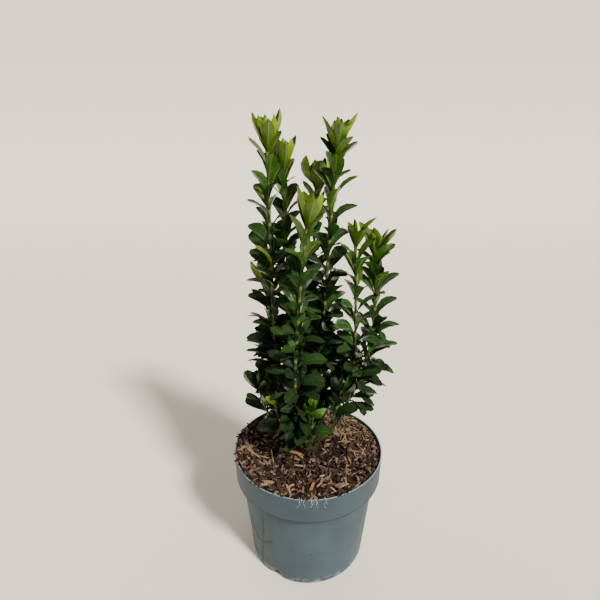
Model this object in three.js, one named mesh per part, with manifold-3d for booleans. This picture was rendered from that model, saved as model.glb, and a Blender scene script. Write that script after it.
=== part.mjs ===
// A green spire japanese spindle in a plastic nursery pot: an upright evergreen shrub whose stems
// fork from a short woody stool and run up as narrow spires of paired leaves.
// Millimetres, +Z up, origin at the centre of the pot's flat underside, +X to the right of its front.
import * as THREE from 'three';
import { mergeVertices } from 'three/addons/utils/BufferGeometryUtils.js';
import Module from 'manifold-3d';

const wasm = await Module();
wasm.setup();

// Free space kept between neighbouring solids, and how near two points count as one
const GAP = 0.3;
const SAME_POINT = 1e-4;

// Nursery pot: a thin tapered wall with a wide straight collar and a flat floor with drainage holes
const POT_HEIGHT = 138;
const RIM_RADIUS = 85;
const COLLAR_HEIGHT = 31;
const COLLAR_FOOT_RADIUS = 84;
const COLLAR_STEP = 3;
const BODY_TOP_RADIUS = 77.5;
const BASE_RADIUS = 67.5;
const BASE_BEVEL = 2.5;
const WALL = 1.4;
const LIP_ROUND = 0.4;
const POT_SIDES = 40;
const DRAIN_HOLES = 8;
const DRAIN_RADIUS = 5;
const DRAIN_SIDES = 10;
const DRAIN_RING_RADIUS = 48;

// Growing medium: a compost root ball with a layer of bark chips on top, lowest at the back right
const COMPOST_TOP = 126;
const MULCH_TOP = 134;
const MULCH_TILT = 1.4;
const MULCH_LUMP = 1.1;
const LUMP_WAVES = [[0.21, 0.13], [-0.09, 0.17]];
const MULCH_RINGS = 5;
const MULCH_SIDES = 32;
const CHIP_COUNT = 34;
const CHIP_LENGTH = [6, 17];
const CHIP_WIDTH = [2.4, 5];
const CHIP_THICKNESS = [1.2, 2.4];
const CHIP_PITCH = [-16, 16];
const CHIP_ROLL = [-20, 20];
const CHIP_LIFT = 0.3;
const CHIP_FREE_RADIUS = 19;
const CHIP_RIM_CLEARANCE = 3;

// Woody stool that every stem forks from, as radii at heights above its flat cut
const STOOL_PROFILE = [
  [16.5, 0],
  [13.4, 3],
  [11.6, 7],
  [12.0, 12],
  [13.6, 16],
];
const STOOL_SIDES = 15;
const STOOL_LOBES = 5;
const STOOL_LOBE_DEPTH = 0.07;
const INNER_FEET = 4.7;
const OUTER_FEET = 10.6;

// Stems: radius where the bough leaves the stool, where it enters its mass, and at the spire's top
const BOUGH_FOOT_RADIUS = 2.1;
const BOUGH_END_RADIUS = 1.75;
const STEM_TIP_RADIUS = 0.7;
const BOUGH_SIDES = 7;
const BOUGH_RINGS = { step: 5, fewest: 2, ease: 1 };
const TWIG_SIDES = 4;
const TWIG_RINGS = { step: 26, fewest: 8, ease: 1.7 };

// Leaves stand in opposite pairs, each pair a little over a quarter turn round from the next.
// They age down the stem and towards the soil, from upright and close to spreading and arched.
const AGE_DEPTH = 120;
const SHADE_HEIGHT = 42;
const BUD_DEPTH = 1;
const WHORL_DEPTH = 3;
const WHORL_GAP = 5;
const INTERNODE = [15, 8];
const FOOT_CLEARANCE = 2.5;
const PAIR_TURN = 94;
const TURN_SPREAD = 12;
const LEAF_ANGLE = [16, 72];
const LARGEST_ANGLE = 100;
const BUD_ANGLE = 7;
const ANGLE_SPREAD = [4, 13];
const ROLL = [10, 52];
const ROLL_SHARE = [0.3, 1];
const BUD_SHARE = 0.55;
const LENGTH_SPREAD = 0.14;
const WIDTH_SHARE = [0.35, 0.45];
const WIDEST_AT = 0.5;
const END_AT = 0.97;
const END_WIDTH_SHARE = 0.4;
const CREASE_AT = 0.55;
const FOLD = 0.3;
const LEAF_THICKNESS = 1.1;
const ARCH = [0.02, 0.34];
const ROOT_DEPTH = 0.4;

// A crowded leaf swings aside, then is drawn more upright and shorter, before it is left out
const CROWDED = [
  { swing: 0, lean: 1, size: 1 },
  { swing: 26, lean: 1, size: 0.97 },
  { swing: -26, lean: 1, size: 0.97 },
  { swing: 50, lean: 0.95, size: 0.92 },
  { swing: -50, lean: 0.95, size: 0.92 },
  { swing: 0, lean: 0.72, size: 0.92 },
  { swing: 36, lean: 0.6, size: 0.86 },
  { swing: -36, lean: 0.6, size: 0.86 },
  { swing: 0, lean: 0.45, size: 0.8 },
  { swing: 0, lean: 0.3, size: 0.68 },
];
const SPACE_MARGIN = 1;
const LIMB_MARGIN = 3.9;
const GROUND_MARGIN = 5;
const STOOL_MARGIN = 1;

// Each stem rises from its foot, a bearing in degrees round the stool and a distance from its middle,
// bends to stand over shoulder, and leans on to tip. enters is the height where its bare bough ends,
// spread how soon it reaches its shoulder, turn the bearing of its top leaf pair, leaf the length of a
// full leaf, and open how far its leaves spread against the usual.
const STEMS = [
  {
    name: 'tall_left', foot: [174, OUTER_FEET], shoulder: [-37, 6], tip: [-40.5, 8, 469],
    enters: 156, spread: 6, turn: 14, leaf: 35, open: 0.95,
  },
  {
    name: 'tall_right', foot: [330, INNER_FEET], shoulder: [13, -2], tip: [24.5, -4, 466],
    enters: 158, spread: 5, turn: -14, leaf: 35, open: 1,
  },
  {
    name: 'back_left', foot: [150, INNER_FEET], shoulder: [-20, 29], tip: [-27, 34, 448],
    enters: 158, spread: 6, turn: 30, leaf: 33, open: 0.95,
  },
  {
    name: 'back_centre', foot: [60, INNER_FEET], shoulder: [4, 34], tip: [7, 37, 431],
    enters: 158, spread: 6, turn: 12, leaf: 31, open: 0.9,
  },
  {
    name: 'front', foot: [240, INNER_FEET], shoulder: [-17, -31], tip: [-3, -34, 404],
    enters: 156, spread: 6, turn: 20, leaf: 36, open: 1.1,
  },
  {
    name: 'right_inner', foot: [354, OUTER_FEET], shoulder: [51, -6], tip: [44.5, -6, 379],
    enters: 160, spread: 6, turn: 8, leaf: 33, open: 1.3,
  },
  {
    name: 'right_outer', foot: [20, OUTER_FEET], shoulder: [75, 10], tip: [68, 12, 366],
    enters: 174, spread: 3.2, turn: -20, leaf: 34, open: 1.3,
  },
  {
    name: 'low_left', foot: [200, OUTER_FEET], shoulder: [-50, -8], tip: [-53, -10, 222],
    enters: 148, spread: 2.2, turn: 40, leaf: 30, open: 1.2,
  },
  {
    name: 'low_front_left', foot: [226, OUTER_FEET], shoulder: [-31, -18], tip: [-36, -22, 208],
    enters: 147, spread: 2.2, turn: 70, leaf: 31, open: 1.15,
  },
  {
    name: 'low_front', foot: [266, OUTER_FEET], shoulder: [4, -23], tip: [4, -28, 202],
    enters: 147, spread: 2.2, turn: 32, leaf: 31, open: 1.15,
  },
  {
    name: 'low_right', foot: [310, OUTER_FEET], shoulder: [28, -18], tip: [34, -22, 224],
    enters: 148, spread: 2.4, turn: 50, leaf: 31, open: 1.1,
  },
  {
    name: 'back_low_right', foot: [52, OUTER_FEET], shoulder: [30, 28], tip: [36, 34, 240],
    enters: 148, spread: 2.6, turn: 35, leaf: 33, open: 1.3,
  },
  {
    name: 'back_low', foot: [98, OUTER_FEET], shoulder: [-8, 46], tip: [-9, 53, 272],
    enters: 149, spread: 3, turn: 25, leaf: 33, open: 1.3,
  },
  {
    name: 'back_low_left', foot: [138, OUTER_FEET], shoulder: [-43, 36], tip: [-47, 41, 324],
    enters: 150, spread: 4, turn: 70, leaf: 33, open: 1.2,
  },
];

const STOOL_FOOT = COMPOST_TOP + GAP;
const STOOL_TOP = STOOL_FOOT + STOOL_PROFILE[STOOL_PROFILE.length - 1][1];
const BOUGH_FOOT = STOOL_TOP + GAP;

const radians = THREE.MathUtils.degToRad;
const lerp = THREE.MathUtils.lerp;
const clamp = THREE.MathUtils.clamp;
const UP = new THREE.Vector3(0, 0, 1);

// A repeatable number from 0 to 1 for each pair of whole numbers
function scatter(i, j) {
  const wave = Math.sin(i * 12.9898 + j * 78.233) * 43758.5453;
  return wave - Math.floor(wave);
}

function between([low, high], share) {
  return lerp(low, high, share);
}

function onCircle(radius, bearing, z) {
  return new THREE.Vector3(radius * Math.cos(bearing), radius * Math.sin(bearing), z);
}

// Turns a closed geometry into a manifold solid
function solidOf(geometry) {
  const bare = geometry.clone();
  bare.deleteAttribute('normal');
  bare.deleteAttribute('uv');
  const merged = mergeVertices(bare, SAME_POINT);
  const corners = merged.index.array;
  const kept = [];
  for (let k = 0; k < corners.length; k += 3) {
    const [a, b, c] = [corners[k], corners[k + 1], corners[k + 2]];
    if (a !== b && b !== c && c !== a) kept.push(a, b, c);
  }
  return new wasm.Manifold(new wasm.Mesh({
    numProp: 3,
    vertProperties: new Float32Array(merged.attributes.position.array),
    triVerts: new Uint32Array(kept),
  }));
}

// Turns a solid back into a geometry, keeping only its largest body
function geometryOf(solid) {
  const bodies = solid.decompose();
  const largest = bodies.reduce((best, body) => (body.volume() > best.volume() ? body : best));
  const mesh = largest.getMesh();
  const geometry = new THREE.BufferGeometry();
  geometry.setAttribute('position', new THREE.BufferAttribute(new Float32Array(mesh.vertProperties), 3));
  geometry.setIndex(new THREE.BufferAttribute(new Uint32Array(mesh.triVerts), 1));
  geometry.computeVertexNormals();
  return geometry;
}

function join(solids) {
  return solids.reduce((whole, solid) => whole.add(solid));
}

// A closed solid from level rings of equal point count, lowest first, capped flat at both ends
function loft(rings) {
  const sides = rings[0].length;
  const faces = [];
  for (let k = 0; k + 1 < rings.length; k += 1) {
    for (let i = 0; i < sides; i += 1) {
      const [a, b] = [k * sides + i, k * sides + (i + 1) % sides];
      faces.push(a, b, b + sides, a, b + sides, a + sides);
    }
  }
  const last = (rings.length - 1) * sides;
  for (let i = 1; i + 1 < sides; i += 1) {
    faces.push(0, i + 1, i, last, last + i, last + i + 1);
  }
  const geometry = new THREE.BufferGeometry().setFromPoints(rings.flat());
  geometry.setIndex(faces);
  return solidOf(geometry);
}

// A solid of revolution about +Z from [radius, height] points that start and end on the axis
function turned(profile) {
  const outline = profile.map(([r, z]) => new THREE.Vector2(r, z));
  return solidOf(new THREE.LatheGeometry(outline, POT_SIDES).rotateX(Math.PI / 2));
}

// The pot

function potWall(inset) {
  const slope = (BODY_TOP_RADIUS - BASE_RADIUS) / (POT_HEIGHT - COLLAR_HEIGHT);
  const stepFoot = POT_HEIGHT - COLLAR_HEIGHT - COLLAR_STEP;
  return {
    base: BASE_RADIUS - inset,
    stepFoot: [BASE_RADIUS + slope * stepFoot - inset, stepFoot],
    collarFoot: [COLLAR_FOOT_RADIUS - inset, POT_HEIGHT - COLLAR_HEIGHT],
    rim: RIM_RADIUS - inset,
  };
}

function pot() {
  const outer = potWall(0);
  const inner = potWall(WALL);
  const shell = turned([
    [0, 0],
    [outer.base - BASE_BEVEL, 0],
    [outer.base, BASE_BEVEL],
    outer.stepFoot,
    outer.collarFoot,
    [outer.rim, POT_HEIGHT - LIP_ROUND],
    [outer.rim - LIP_ROUND, POT_HEIGHT],
    [inner.rim + LIP_ROUND, POT_HEIGHT],
    [inner.rim, POT_HEIGHT - LIP_ROUND],
    inner.collarFoot,
    inner.stepFoot,
    [inner.base, BASE_BEVEL + WALL],
    [inner.base - BASE_BEVEL, WALL],
    [0, WALL],
  ]);
  const holes = Array.from({ length: DRAIN_HOLES }, (_, i) => {
    const centre = onCircle(DRAIN_RING_RADIUS, (i + 0.5) * 2 * Math.PI / DRAIN_HOLES, 0);
    const drill = new THREE.CylinderGeometry(DRAIN_RADIUS, DRAIN_RADIUS, 4 * WALL, DRAIN_SIDES);
    return solidOf(drill.rotateX(Math.PI / 2).translate(...centre.toArray()));
  });
  return holes.reduce((solid, hole) => solid.subtract(hole), shell);
}

// The growing medium

// The radius that soil may reach at a height inside the collar
function fillRadius(z) {
  const fill = potWall(WALL + GAP);
  return lerp(fill.collarFoot[0], fill.rim, (z - fill.collarFoot[1]) / COLLAR_HEIGHT);
}

function rootBall() {
  const fill = potWall(WALL + GAP);
  const floor = WALL + GAP;
  return turned([
    [0, floor],
    [fill.base - BASE_BEVEL, floor],
    [fill.base, BASE_BEVEL + floor],
    fill.stepFoot,
    fill.collarFoot,
    [fillRadius(COMPOST_TOP), COMPOST_TOP],
    [0, COMPOST_TOP],
  ]);
}

// The height of the bark layer: a slight fall to the back right, with long low lumps
function mulchHeight(x, y) {
  const fall = MULCH_TILT * (x + y) / RIM_RADIUS;
  const [across, along] = LUMP_WAVES.map(([i, j]) => i * x + j * y);
  const lumps = Math.sin(across) * Math.cos(along);
  return MULCH_TOP - fall + MULCH_LUMP * lumps;
}

function mulchLayer() {
  const foot = COMPOST_TOP + GAP;
  const reach = fillRadius(foot) - GAP;
  const ring = (radius, height) => Array.from({ length: MULCH_SIDES }, (_, i) => {
    const point = onCircle(radius, 2 * Math.PI * i / MULCH_SIDES, 0);
    return point.setZ(height ?? mulchHeight(point.x, point.y));
  });
  const rings = [ring(reach, foot)];
  for (let k = MULCH_RINGS; k >= 1; k -= 1) rings.push(ring(reach * k / MULCH_RINGS));
  return loft(rings);
}

function barkChip(i) {
  const length = between(CHIP_LENGTH, scatter(i, 1));
  const width = between(CHIP_WIDTH, scatter(i, 2));
  const thickness = between(CHIP_THICKNESS, scatter(i, 3));
  const reach = RIM_RADIUS - WALL - CHIP_RIM_CLEARANCE - length / 2;
  const share = Math.sqrt((i + 0.5) / CHIP_COUNT);
  const goldenTurn = Math.PI * (3 - Math.sqrt(5));
  const centre = onCircle(lerp(CHIP_FREE_RADIUS, reach, share), i * goldenTurn, 0);
  centre.z = mulchHeight(centre.x, centre.y) + CHIP_LIFT * thickness;
  const chip = new THREE.BoxGeometry(length, width, thickness);
  chip.rotateY(radians(between(CHIP_PITCH, scatter(i, 4))));
  chip.rotateX(radians(between(CHIP_ROLL, scatter(i, 5))));
  chip.rotateZ(2 * Math.PI * scatter(i, 6));
  return solidOf(chip.translate(...centre.toArray()));
}

function barkMulch() {
  const chips = Array.from({ length: CHIP_COUNT }, (_, i) => barkChip(i));
  return join([mulchLayer(), ...chips]).subtract(stoolSocket());
}

// The stool

function stoolRings(swell) {
  return STOOL_PROFILE.map(([radius, height], k) => {
    const lobed = STOOL_LOBE_DEPTH * (1 - k / (STOOL_PROFILE.length - 1));
    return Array.from({ length: STOOL_SIDES }, (_, i) => {
      const bearing = 2 * Math.PI * i / STOOL_SIDES;
      const reach = radius * (1 + lobed * Math.cos(STOOL_LOBES * bearing)) + swell;
      return onCircle(reach, bearing, STOOL_FOOT + height);
    });
  });
}

function stool() {
  return loft(stoolRings(0));
}

// The hole that the stool stands in, a little wider than it and open below
function stoolSocket() {
  const rings = stoolRings(2 * GAP);
  const below = rings[0].map((point) => point.clone().setZ(STOOL_FOOT - 2 * GAP));
  return loft([below, ...rings]);
}

// The stems

// The point on a stem's centre line at a height
function stemAt(stem, z) {
  const [bearing, distance] = stem.foot;
  const foot = onCircle(distance, radians(bearing), BOUGH_FOOT).toArray();
  const rise = clamp((z - BOUGH_FOOT) / (stem.tip[2] - BOUGH_FOOT), 0, 1);
  const out = 1 - (1 - rise) ** stem.spread;
  const along = (k) => lerp(foot[k], stem.shoulder[k], out) + (stem.tip[k] - stem.shoulder[k]) * rise ** 2;
  return new THREE.Vector3(along(0), along(1), lerp(BOUGH_FOOT, stem.tip[2], rise));
}

function stemDirection(stem, z) {
  const low = Math.min(z, stem.tip[2] - 1);
  return stemAt(stem, low + 1).sub(stemAt(stem, low)).normalize();
}

function stemRadius(stem, z) {
  if (z <= stem.enters) {
    return lerp(BOUGH_FOOT_RADIUS, BOUGH_END_RADIUS, (z - BOUGH_FOOT) / (stem.enters - BOUGH_FOOT));
  }
  return lerp(BOUGH_END_RADIUS, STEM_TIP_RADIUS, (z - stem.enters) / (stem.tip[2] - stem.enters));
}

// A tapering limb along a stem between two heights, with level rings that ease draws towards its foot
function limb(stem, from, to, sides, { step, fewest, ease }, turn) {
  const count = Math.max(fewest, Math.ceil((to - from) / step));
  const rings = Array.from({ length: count + 1 }, (_, k) => {
    const z = lerp(from, to, (k / count) ** ease);
    const centre = stemAt(stem, z);
    return Array.from({ length: sides }, (_, i) => (
      onCircle(stemRadius(stem, z), 2 * Math.PI * i / sides + turn, 0).add(centre)
    ));
  });
  return loft(rings);
}

function bough(stem) {
  return limb(stem, BOUGH_FOOT, stem.enters, BOUGH_SIDES, BOUGH_RINGS, 0);
}

// The leaves

// From 0 at a tall stem's tip towards 1 far below it or close to the soil
function age(stem, z) {
  const young = Math.exp((z - stem.tip[2]) / AGE_DEPTH);
  const lit = 1 - Math.exp((MULCH_TOP - z) / SHADE_HEIGHT);
  return 1 - young * lit;
}

// The heights of a stem's leaf pairs from the bud down, closer together towards the foot
function pairHeights(stem) {
  const top = stem.tip[2];
  const heights = [top - BUD_DEPTH, top - WHORL_DEPTH, top - WHORL_DEPTH - WHORL_GAP];
  const next = (z) => z - between(INTERNODE, age(stem, z));
  for (let z = next(heights[2]); z > stem.enters + FOOT_CLEARANCE; z = next(z)) heights.push(z);
  return heights;
}

// Seven corners of a leaf blade: its root, both edges where it is widest, both where its blunt end
// begins, and the crease it folds along, on the upper face and under it
function leafCorners(stem, pair, half, z, crowd) {
  const seed = 100 * STEMS.indexOf(stem) + 2 * pair + half;
  const spread = (range, key) => range * (2 * scatter(seed, key) - 1);
  const old = age(stem, z);
  const isBud = pair === 0;
  const usual = between(LEAF_ANGLE, old) * stem.open + spread(between(ANGLE_SPREAD, old), 1);
  const open = isBud ? BUD_ANGLE : usual;
  const angle = radians(Math.min(open * crowd.lean, LARGEST_ANGLE));
  const turned = stem.turn + PAIR_TURN * (pair - 1) + 180 * half;
  const bearing = radians(turned + spread(TURN_SPREAD, 2) + crowd.swing);
  const length = stem.leaf * crowd.size * (isBud ? BUD_SHARE : 1) * (1 - LENGTH_SPREAD * scatter(seed, 3));
  const halfWidth = 0.5 * length * between(WIDTH_SHARE, scatter(seed, 4));
  const arch = between(ARCH, old) * crowd.lean * length;
  const twist = between(ROLL, scatter(seed, 5)) * between(ROLL_SHARE, old);
  const roll = radians(scatter(seed, 6) < 0.5 ? twist : -twist);

  const axis = stemDirection(stem, z);
  const outward = onCircle(1, bearing, 0);
  outward.addScaledVector(axis, -outward.dot(axis)).normalize();
  const run = axis.clone().multiplyScalar(Math.cos(angle)).addScaledVector(outward, Math.sin(angle));
  const level = new THREE.Vector3().crossVectors(outward, axis).normalize();
  const side = level.applyAxisAngle(run, roll);
  const under = new THREE.Vector3().crossVectors(run, side);
  const root = stemAt(stem, z).addScaledVector(outward, stemRadius(stem, z) * ROOT_DEPTH);
  const rib = (share) => root.clone().addScaledVector(run, share * length)
    .addScaledVector(UP, -arch * share ** 2);
  const endWidth = halfWidth * END_WIDTH_SHARE;
  return [
    root,
    rib(WIDEST_AT).addScaledVector(side, -halfWidth),
    rib(END_AT).addScaledVector(side, -endWidth),
    rib(END_AT).addScaledVector(side, endWidth),
    rib(WIDEST_AT).addScaledVector(side, halfWidth),
    rib(CREASE_AT).addScaledVector(under, FOLD * halfWidth),
    rib(CREASE_AT).addScaledVector(under, FOLD * halfWidth + LEAF_THICKNESS),
  ];
}

// A leaf as a thin folded blade: a fan of faces round the crease above, and another below
function leafBlade(corners) {
  const [above, below] = [5, 6];
  const outline = [0, 1, 2, 3, 4];
  const faces = outline.flatMap((corner, i) => {
    const next = outline[(i + 1) % outline.length];
    return [corner, next, below, next, corner, above];
  });
  const geometry = new THREE.BufferGeometry().setFromPoints(corners);
  geometry.setIndex(faces);
  return solidOf(geometry);
}

// How far a point lies from a stem: the measure that shares the crown out among the spires
function distanceTo(stem, point) {
  return stemAt(stem, point.z).distanceTo(point);
}

// A point is free for a spire where it is nearer to that stem than to any other, off the bare bough,
// and above the soil, the stool and the pot's rim
function isFree(stem, point) {
  const own = distanceTo(stem, point);
  const flat = Math.hypot(point.x, point.y);
  let ground = 0;
  if (flat < RIM_RADIUS + GROUND_MARGIN) ground = mulchHeight(point.x, point.y) + GROUND_MARGIN;
  if (flat < STOOL_PROFILE[0][0]) ground = STOOL_TOP + STOOL_MARGIN;
  if (Math.abs(flat - RIM_RADIUS) < GROUND_MARGIN) ground = POT_HEIGHT + GROUND_MARGIN;
  return point.z > ground
    && (point.z > stem.enters || own > LIMB_MARGIN)
    && STEMS.every((other) => other === stem || distanceTo(other, point) > own + SPACE_MARGIN);
}

function leafFits(stem, corners) {
  const [root, left, endLeft, endRight, right, above, below] = corners;
  const middle = (a, b) => a.clone().lerp(b, 0.5);
  const points = [
    left, endLeft, endRight, right, above, below, middle(root, left), middle(root, right),
    middle(root, below), middle(left, endLeft), middle(right, endRight), middle(endLeft, endRight),
  ];
  return points.every((point) => isFree(stem, point));
}

function spire(stem) {
  const blades = [];
  pairHeights(stem).forEach((z, pair) => {
    for (const half of [0, 1]) {
      const tries = CROWDED.map((crowd) => leafCorners(stem, pair, half, z, crowd));
      const corners = tries.find((tried) => leafFits(stem, tried));
      if (corners) blades.push(leafBlade(corners));
    }
  });
  const facing = radians(stem.turn) + Math.PI / TWIG_SIDES;
  const twig = limb(stem, stem.enters + GAP, stem.tip[2], TWIG_SIDES, TWIG_RINGS, facing);
  return join([twig, ...blades]);
}

// Finishes

const POT_PLASTIC = { color: '#70838a', roughness: 0.55, metalness: 0 };
const COMPOST = { color: '#2b211b', roughness: 1, metalness: 0 };
const BARK_CHIPS = { color: '#5b463a', roughness: 0.95, metalness: 0 };
const WOOD = { color: '#6b5a3c', roughness: 0.9, metalness: 0 };
const GREEN_STEM = { color: '#76793b', roughness: 0.7, metalness: 0 };
const FOLIAGE = { color: '#2f5a14', roughness: 0.35, metalness: 0 };

function piece(name, solid, finish) {
  const mesh = new THREE.Mesh(geometryOf(solid), new THREE.MeshStandardMaterial(finish));
  mesh.name = name;
  return mesh;
}

const group = new THREE.Group();
group.add(piece('pot', pot(), POT_PLASTIC));
group.add(piece('root_ball', rootBall(), COMPOST));
group.add(piece('bark_mulch', barkMulch(), BARK_CHIPS));
group.add(piece('stool', stool(), WOOD));
for (const stem of STEMS) {
  group.add(piece(`bough_${stem.name}`, bough(stem), GREEN_STEM));
  group.add(piece(`spire_${stem.name}`, spire(stem), FOLIAGE));
}

export default group;
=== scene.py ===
"""A green spire japanese spindle in a plastic nursery pot, dressed around its solids.

Every shape is worked out with numpy in millimetres, in the part's own frame: the origin is the centre of
the pot's flat underside, +Z is up, +X is right and +Y points away from the camera.
"""

import logging
import math
from dataclasses import dataclass
from enum import Enum
from typing import ClassVar

import bpy
import numpy as np
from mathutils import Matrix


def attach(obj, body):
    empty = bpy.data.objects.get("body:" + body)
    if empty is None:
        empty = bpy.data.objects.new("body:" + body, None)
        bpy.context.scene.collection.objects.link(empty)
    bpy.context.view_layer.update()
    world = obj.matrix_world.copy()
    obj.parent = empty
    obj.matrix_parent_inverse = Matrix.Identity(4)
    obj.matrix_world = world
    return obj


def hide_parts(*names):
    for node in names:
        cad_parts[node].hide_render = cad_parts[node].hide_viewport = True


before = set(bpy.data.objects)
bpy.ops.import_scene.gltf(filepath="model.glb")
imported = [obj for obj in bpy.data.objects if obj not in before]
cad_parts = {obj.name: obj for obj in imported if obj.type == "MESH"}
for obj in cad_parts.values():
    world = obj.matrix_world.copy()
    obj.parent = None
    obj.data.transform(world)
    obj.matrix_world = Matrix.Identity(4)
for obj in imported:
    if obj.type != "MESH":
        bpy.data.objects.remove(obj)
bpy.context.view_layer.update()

Array = np.ndarray
Piece = bpy.types.Object
Tree = bpy.types.NodeTree
Socket = bpy.types.NodeSocket
Colour = tuple[float, float, float, float]
Place = tuple[float, float, float]
Range = tuple[float, float]
Numbers = tuple[float, ...]
Rows = tuple[Numbers, ...]
Sizes = tuple[Range, float, Range, Range]

LOG = logging.getLogger("spindle")
UP = np.array([0.0, 0.0, 1.0])
FULL_TURN = 2 * np.pi
MM = 0.001
BODY = "root"

# The pot's rim and the layer of bark in it
POT_HEIGHT = 138.0
RIM_RADIUS = 85.0
WALL = 1.4
MULCH_FOOT = 126.3
MULCH_TOP = 134.0
MULCH_TILT = 1.4
MULCH_LUMP = 1.1
LUMP_WAVES = ((0.21, 0.13), (-0.09, 0.17))
HEAP_HEIGHT = 1.9
HEAP_WIDTH = 16.0
HEAP_BEARING = 222.0
HEAP_SPREAD = 0.45

# The stool, from its flat cut on the compost up to where the stems leave it
STOOL_FOOT = 126.3
STOOL_TOP = 142.3
STOOL_REACH = 16.5
BOUGH_FOOT = 142.6
INNER_FEET = 4.7
OUTER_FEET = 10.6


def linear(code: str) -> Colour:
    """Turns an sRGB hex colour into linear red, green, blue and alpha.

    Args:
        code: The colour, such as "#5b463a".

    Returns:
        The four values that a shader socket takes.
    """
    shares = [int(code[k:k + 2], 16) / 255 for k in (1, 3, 5)]
    curve = [s / 12.92 if s <= 0.04045 else ((s + 0.055) / 1.055) ** 2.4 for s in shares]
    return (*curve, 1.0)


def add_node(
    tree: Tree, kind: str, inputs: dict | None = None, stops: tuple[tuple[float, str], ...] = (),
    output: str | int = 0, **settings: str,
) -> Socket:
    """Adds a node with its settings, its input values and the links that feed it.

    Args:
        tree: The tree that the node joins.
        kind: The node's type name.
        inputs: For each input, by name or number, a value or the socket that feeds it.
        stops: Places and hex colours, where the node has a colour ramp.
        output: The wanted output, by name or number.
        settings: The node's own properties.

    Returns:
        The wanted output.
    """
    node = tree.nodes.new(kind)
    for name, value in settings.items():
        setattr(node, name, value)
    for name, value in (inputs or {}).items():
        if isinstance(value, Socket):
            tree.links.new(value, node.inputs[name])
        else:
            node.inputs[name].default_value = value
    for k, (place, code) in enumerate(stops):
        elements = node.color_ramp.elements
        stop = elements[k] if k < len(elements) else elements.new(place)
        stop.position = place
        stop.color = linear(code)
    return node.outputs[output]


def scatter(key: Array | int, draw: Array | int) -> Array:
    """Gives a repeatable number from 0 to 1 for each pair of whole numbers: a sine's far decimals."""
    wave = np.sin(np.asarray(key) * 12.9898 + np.asarray(draw) * 78.233) * 43758.5453
    return wave - np.floor(wave)


def between(ends: Range, share: Array | float) -> Array:
    """Gives the value that lies a share of the way from the first end to the second."""
    return ends[0] + (ends[1] - ends[0]) * share


def dealt(ends: Range, key: Array | int, draw: int) -> Array:
    """Deals each key its own repeatable value between two ends."""
    return between(ends, scatter(key, draw))


def unit(vectors: Array) -> Array:
    """Scales each vector to length 1."""
    return vectors / np.linalg.norm(vectors, axis=-1, keepdims=True)


def on_circle(radius: Array | float, bearing: Array, z: Array | float = 0.0) -> Array:
    """Gives the points at a radius and bearing round the pot's axis, and a height."""
    parts = np.broadcast_arrays(radius * np.cos(bearing), radius * np.sin(bearing), z)
    return np.stack(parts, axis=-1)


def around(sides: int) -> Array:
    """Gives the bearings of evenly spaced points on a circle, from +X on."""
    return np.arange(sides) * FULL_TURN / sides


def turns(angle: Array, axis: int) -> Array:
    """Works out the matrix of each turn about one axis.

    Args:
        angle: The angles.
        axis: 0 for X, 1 for Y and 2 for Z.

    Returns:
        One matrix for each angle.
    """
    first, second = (axis + 1) % 3, (axis + 2) % 3
    matrix = np.zeros((len(angle), 3, 3))
    matrix[:, axis, axis] = 1
    matrix[:, first, first] = matrix[:, second, second] = np.cos(angle)
    matrix[:, first, second] = -np.sin(angle)
    matrix[:, second, first] = np.sin(angle)
    return matrix


def mulch_height(x: Array, y: Array) -> Array:
    """Works out the height of the bark layer.

    It falls a little to the back right in long low lumps, the product of a sine and a cosine of two
    slanting waves, and is heaped against the rim round HEAP_BEARING at the front left.

    Args:
        x: Places along X.
        y: Places along Y.

    Returns:
        The height at each place.
    """
    across, along = (i * x + j * y for i, j in LUMP_WAVES)
    near_rim = np.clip((np.hypot(x, y) - RIM_RADIUS) / HEAP_WIDTH + 1, 0, 1)
    facing = np.clip(HEAP_SPREAD + np.cos(np.arctan2(y, x) - math.radians(HEAP_BEARING)), 0, 1)
    slope = MULCH_TOP - MULCH_TILT * (x + y) / RIM_RADIUS
    return slope + MULCH_LUMP * np.sin(across) * np.cos(along) + HEAP_HEIGHT * near_rim * facing


def grid_faces(rows: int, columns: int, wrap: bool = False) -> Array:
    """Lists the four-sided faces of a grid of points, row by row.

    Args:
        rows: The number of rows of points.
        columns: The number of points in a row.
        wrap: Whether each row closes on itself.

    Returns:
        Four point numbers for each face.
    """
    across = np.arange(columns if wrap else columns - 1)
    near = np.arange(rows - 1)[:, None] * columns + across
    far = np.arange(rows - 1)[:, None] * columns + (across + 1) % columns
    return np.stack([near, far, far + columns, near + columns], axis=-1).reshape(-1, 4)


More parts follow.
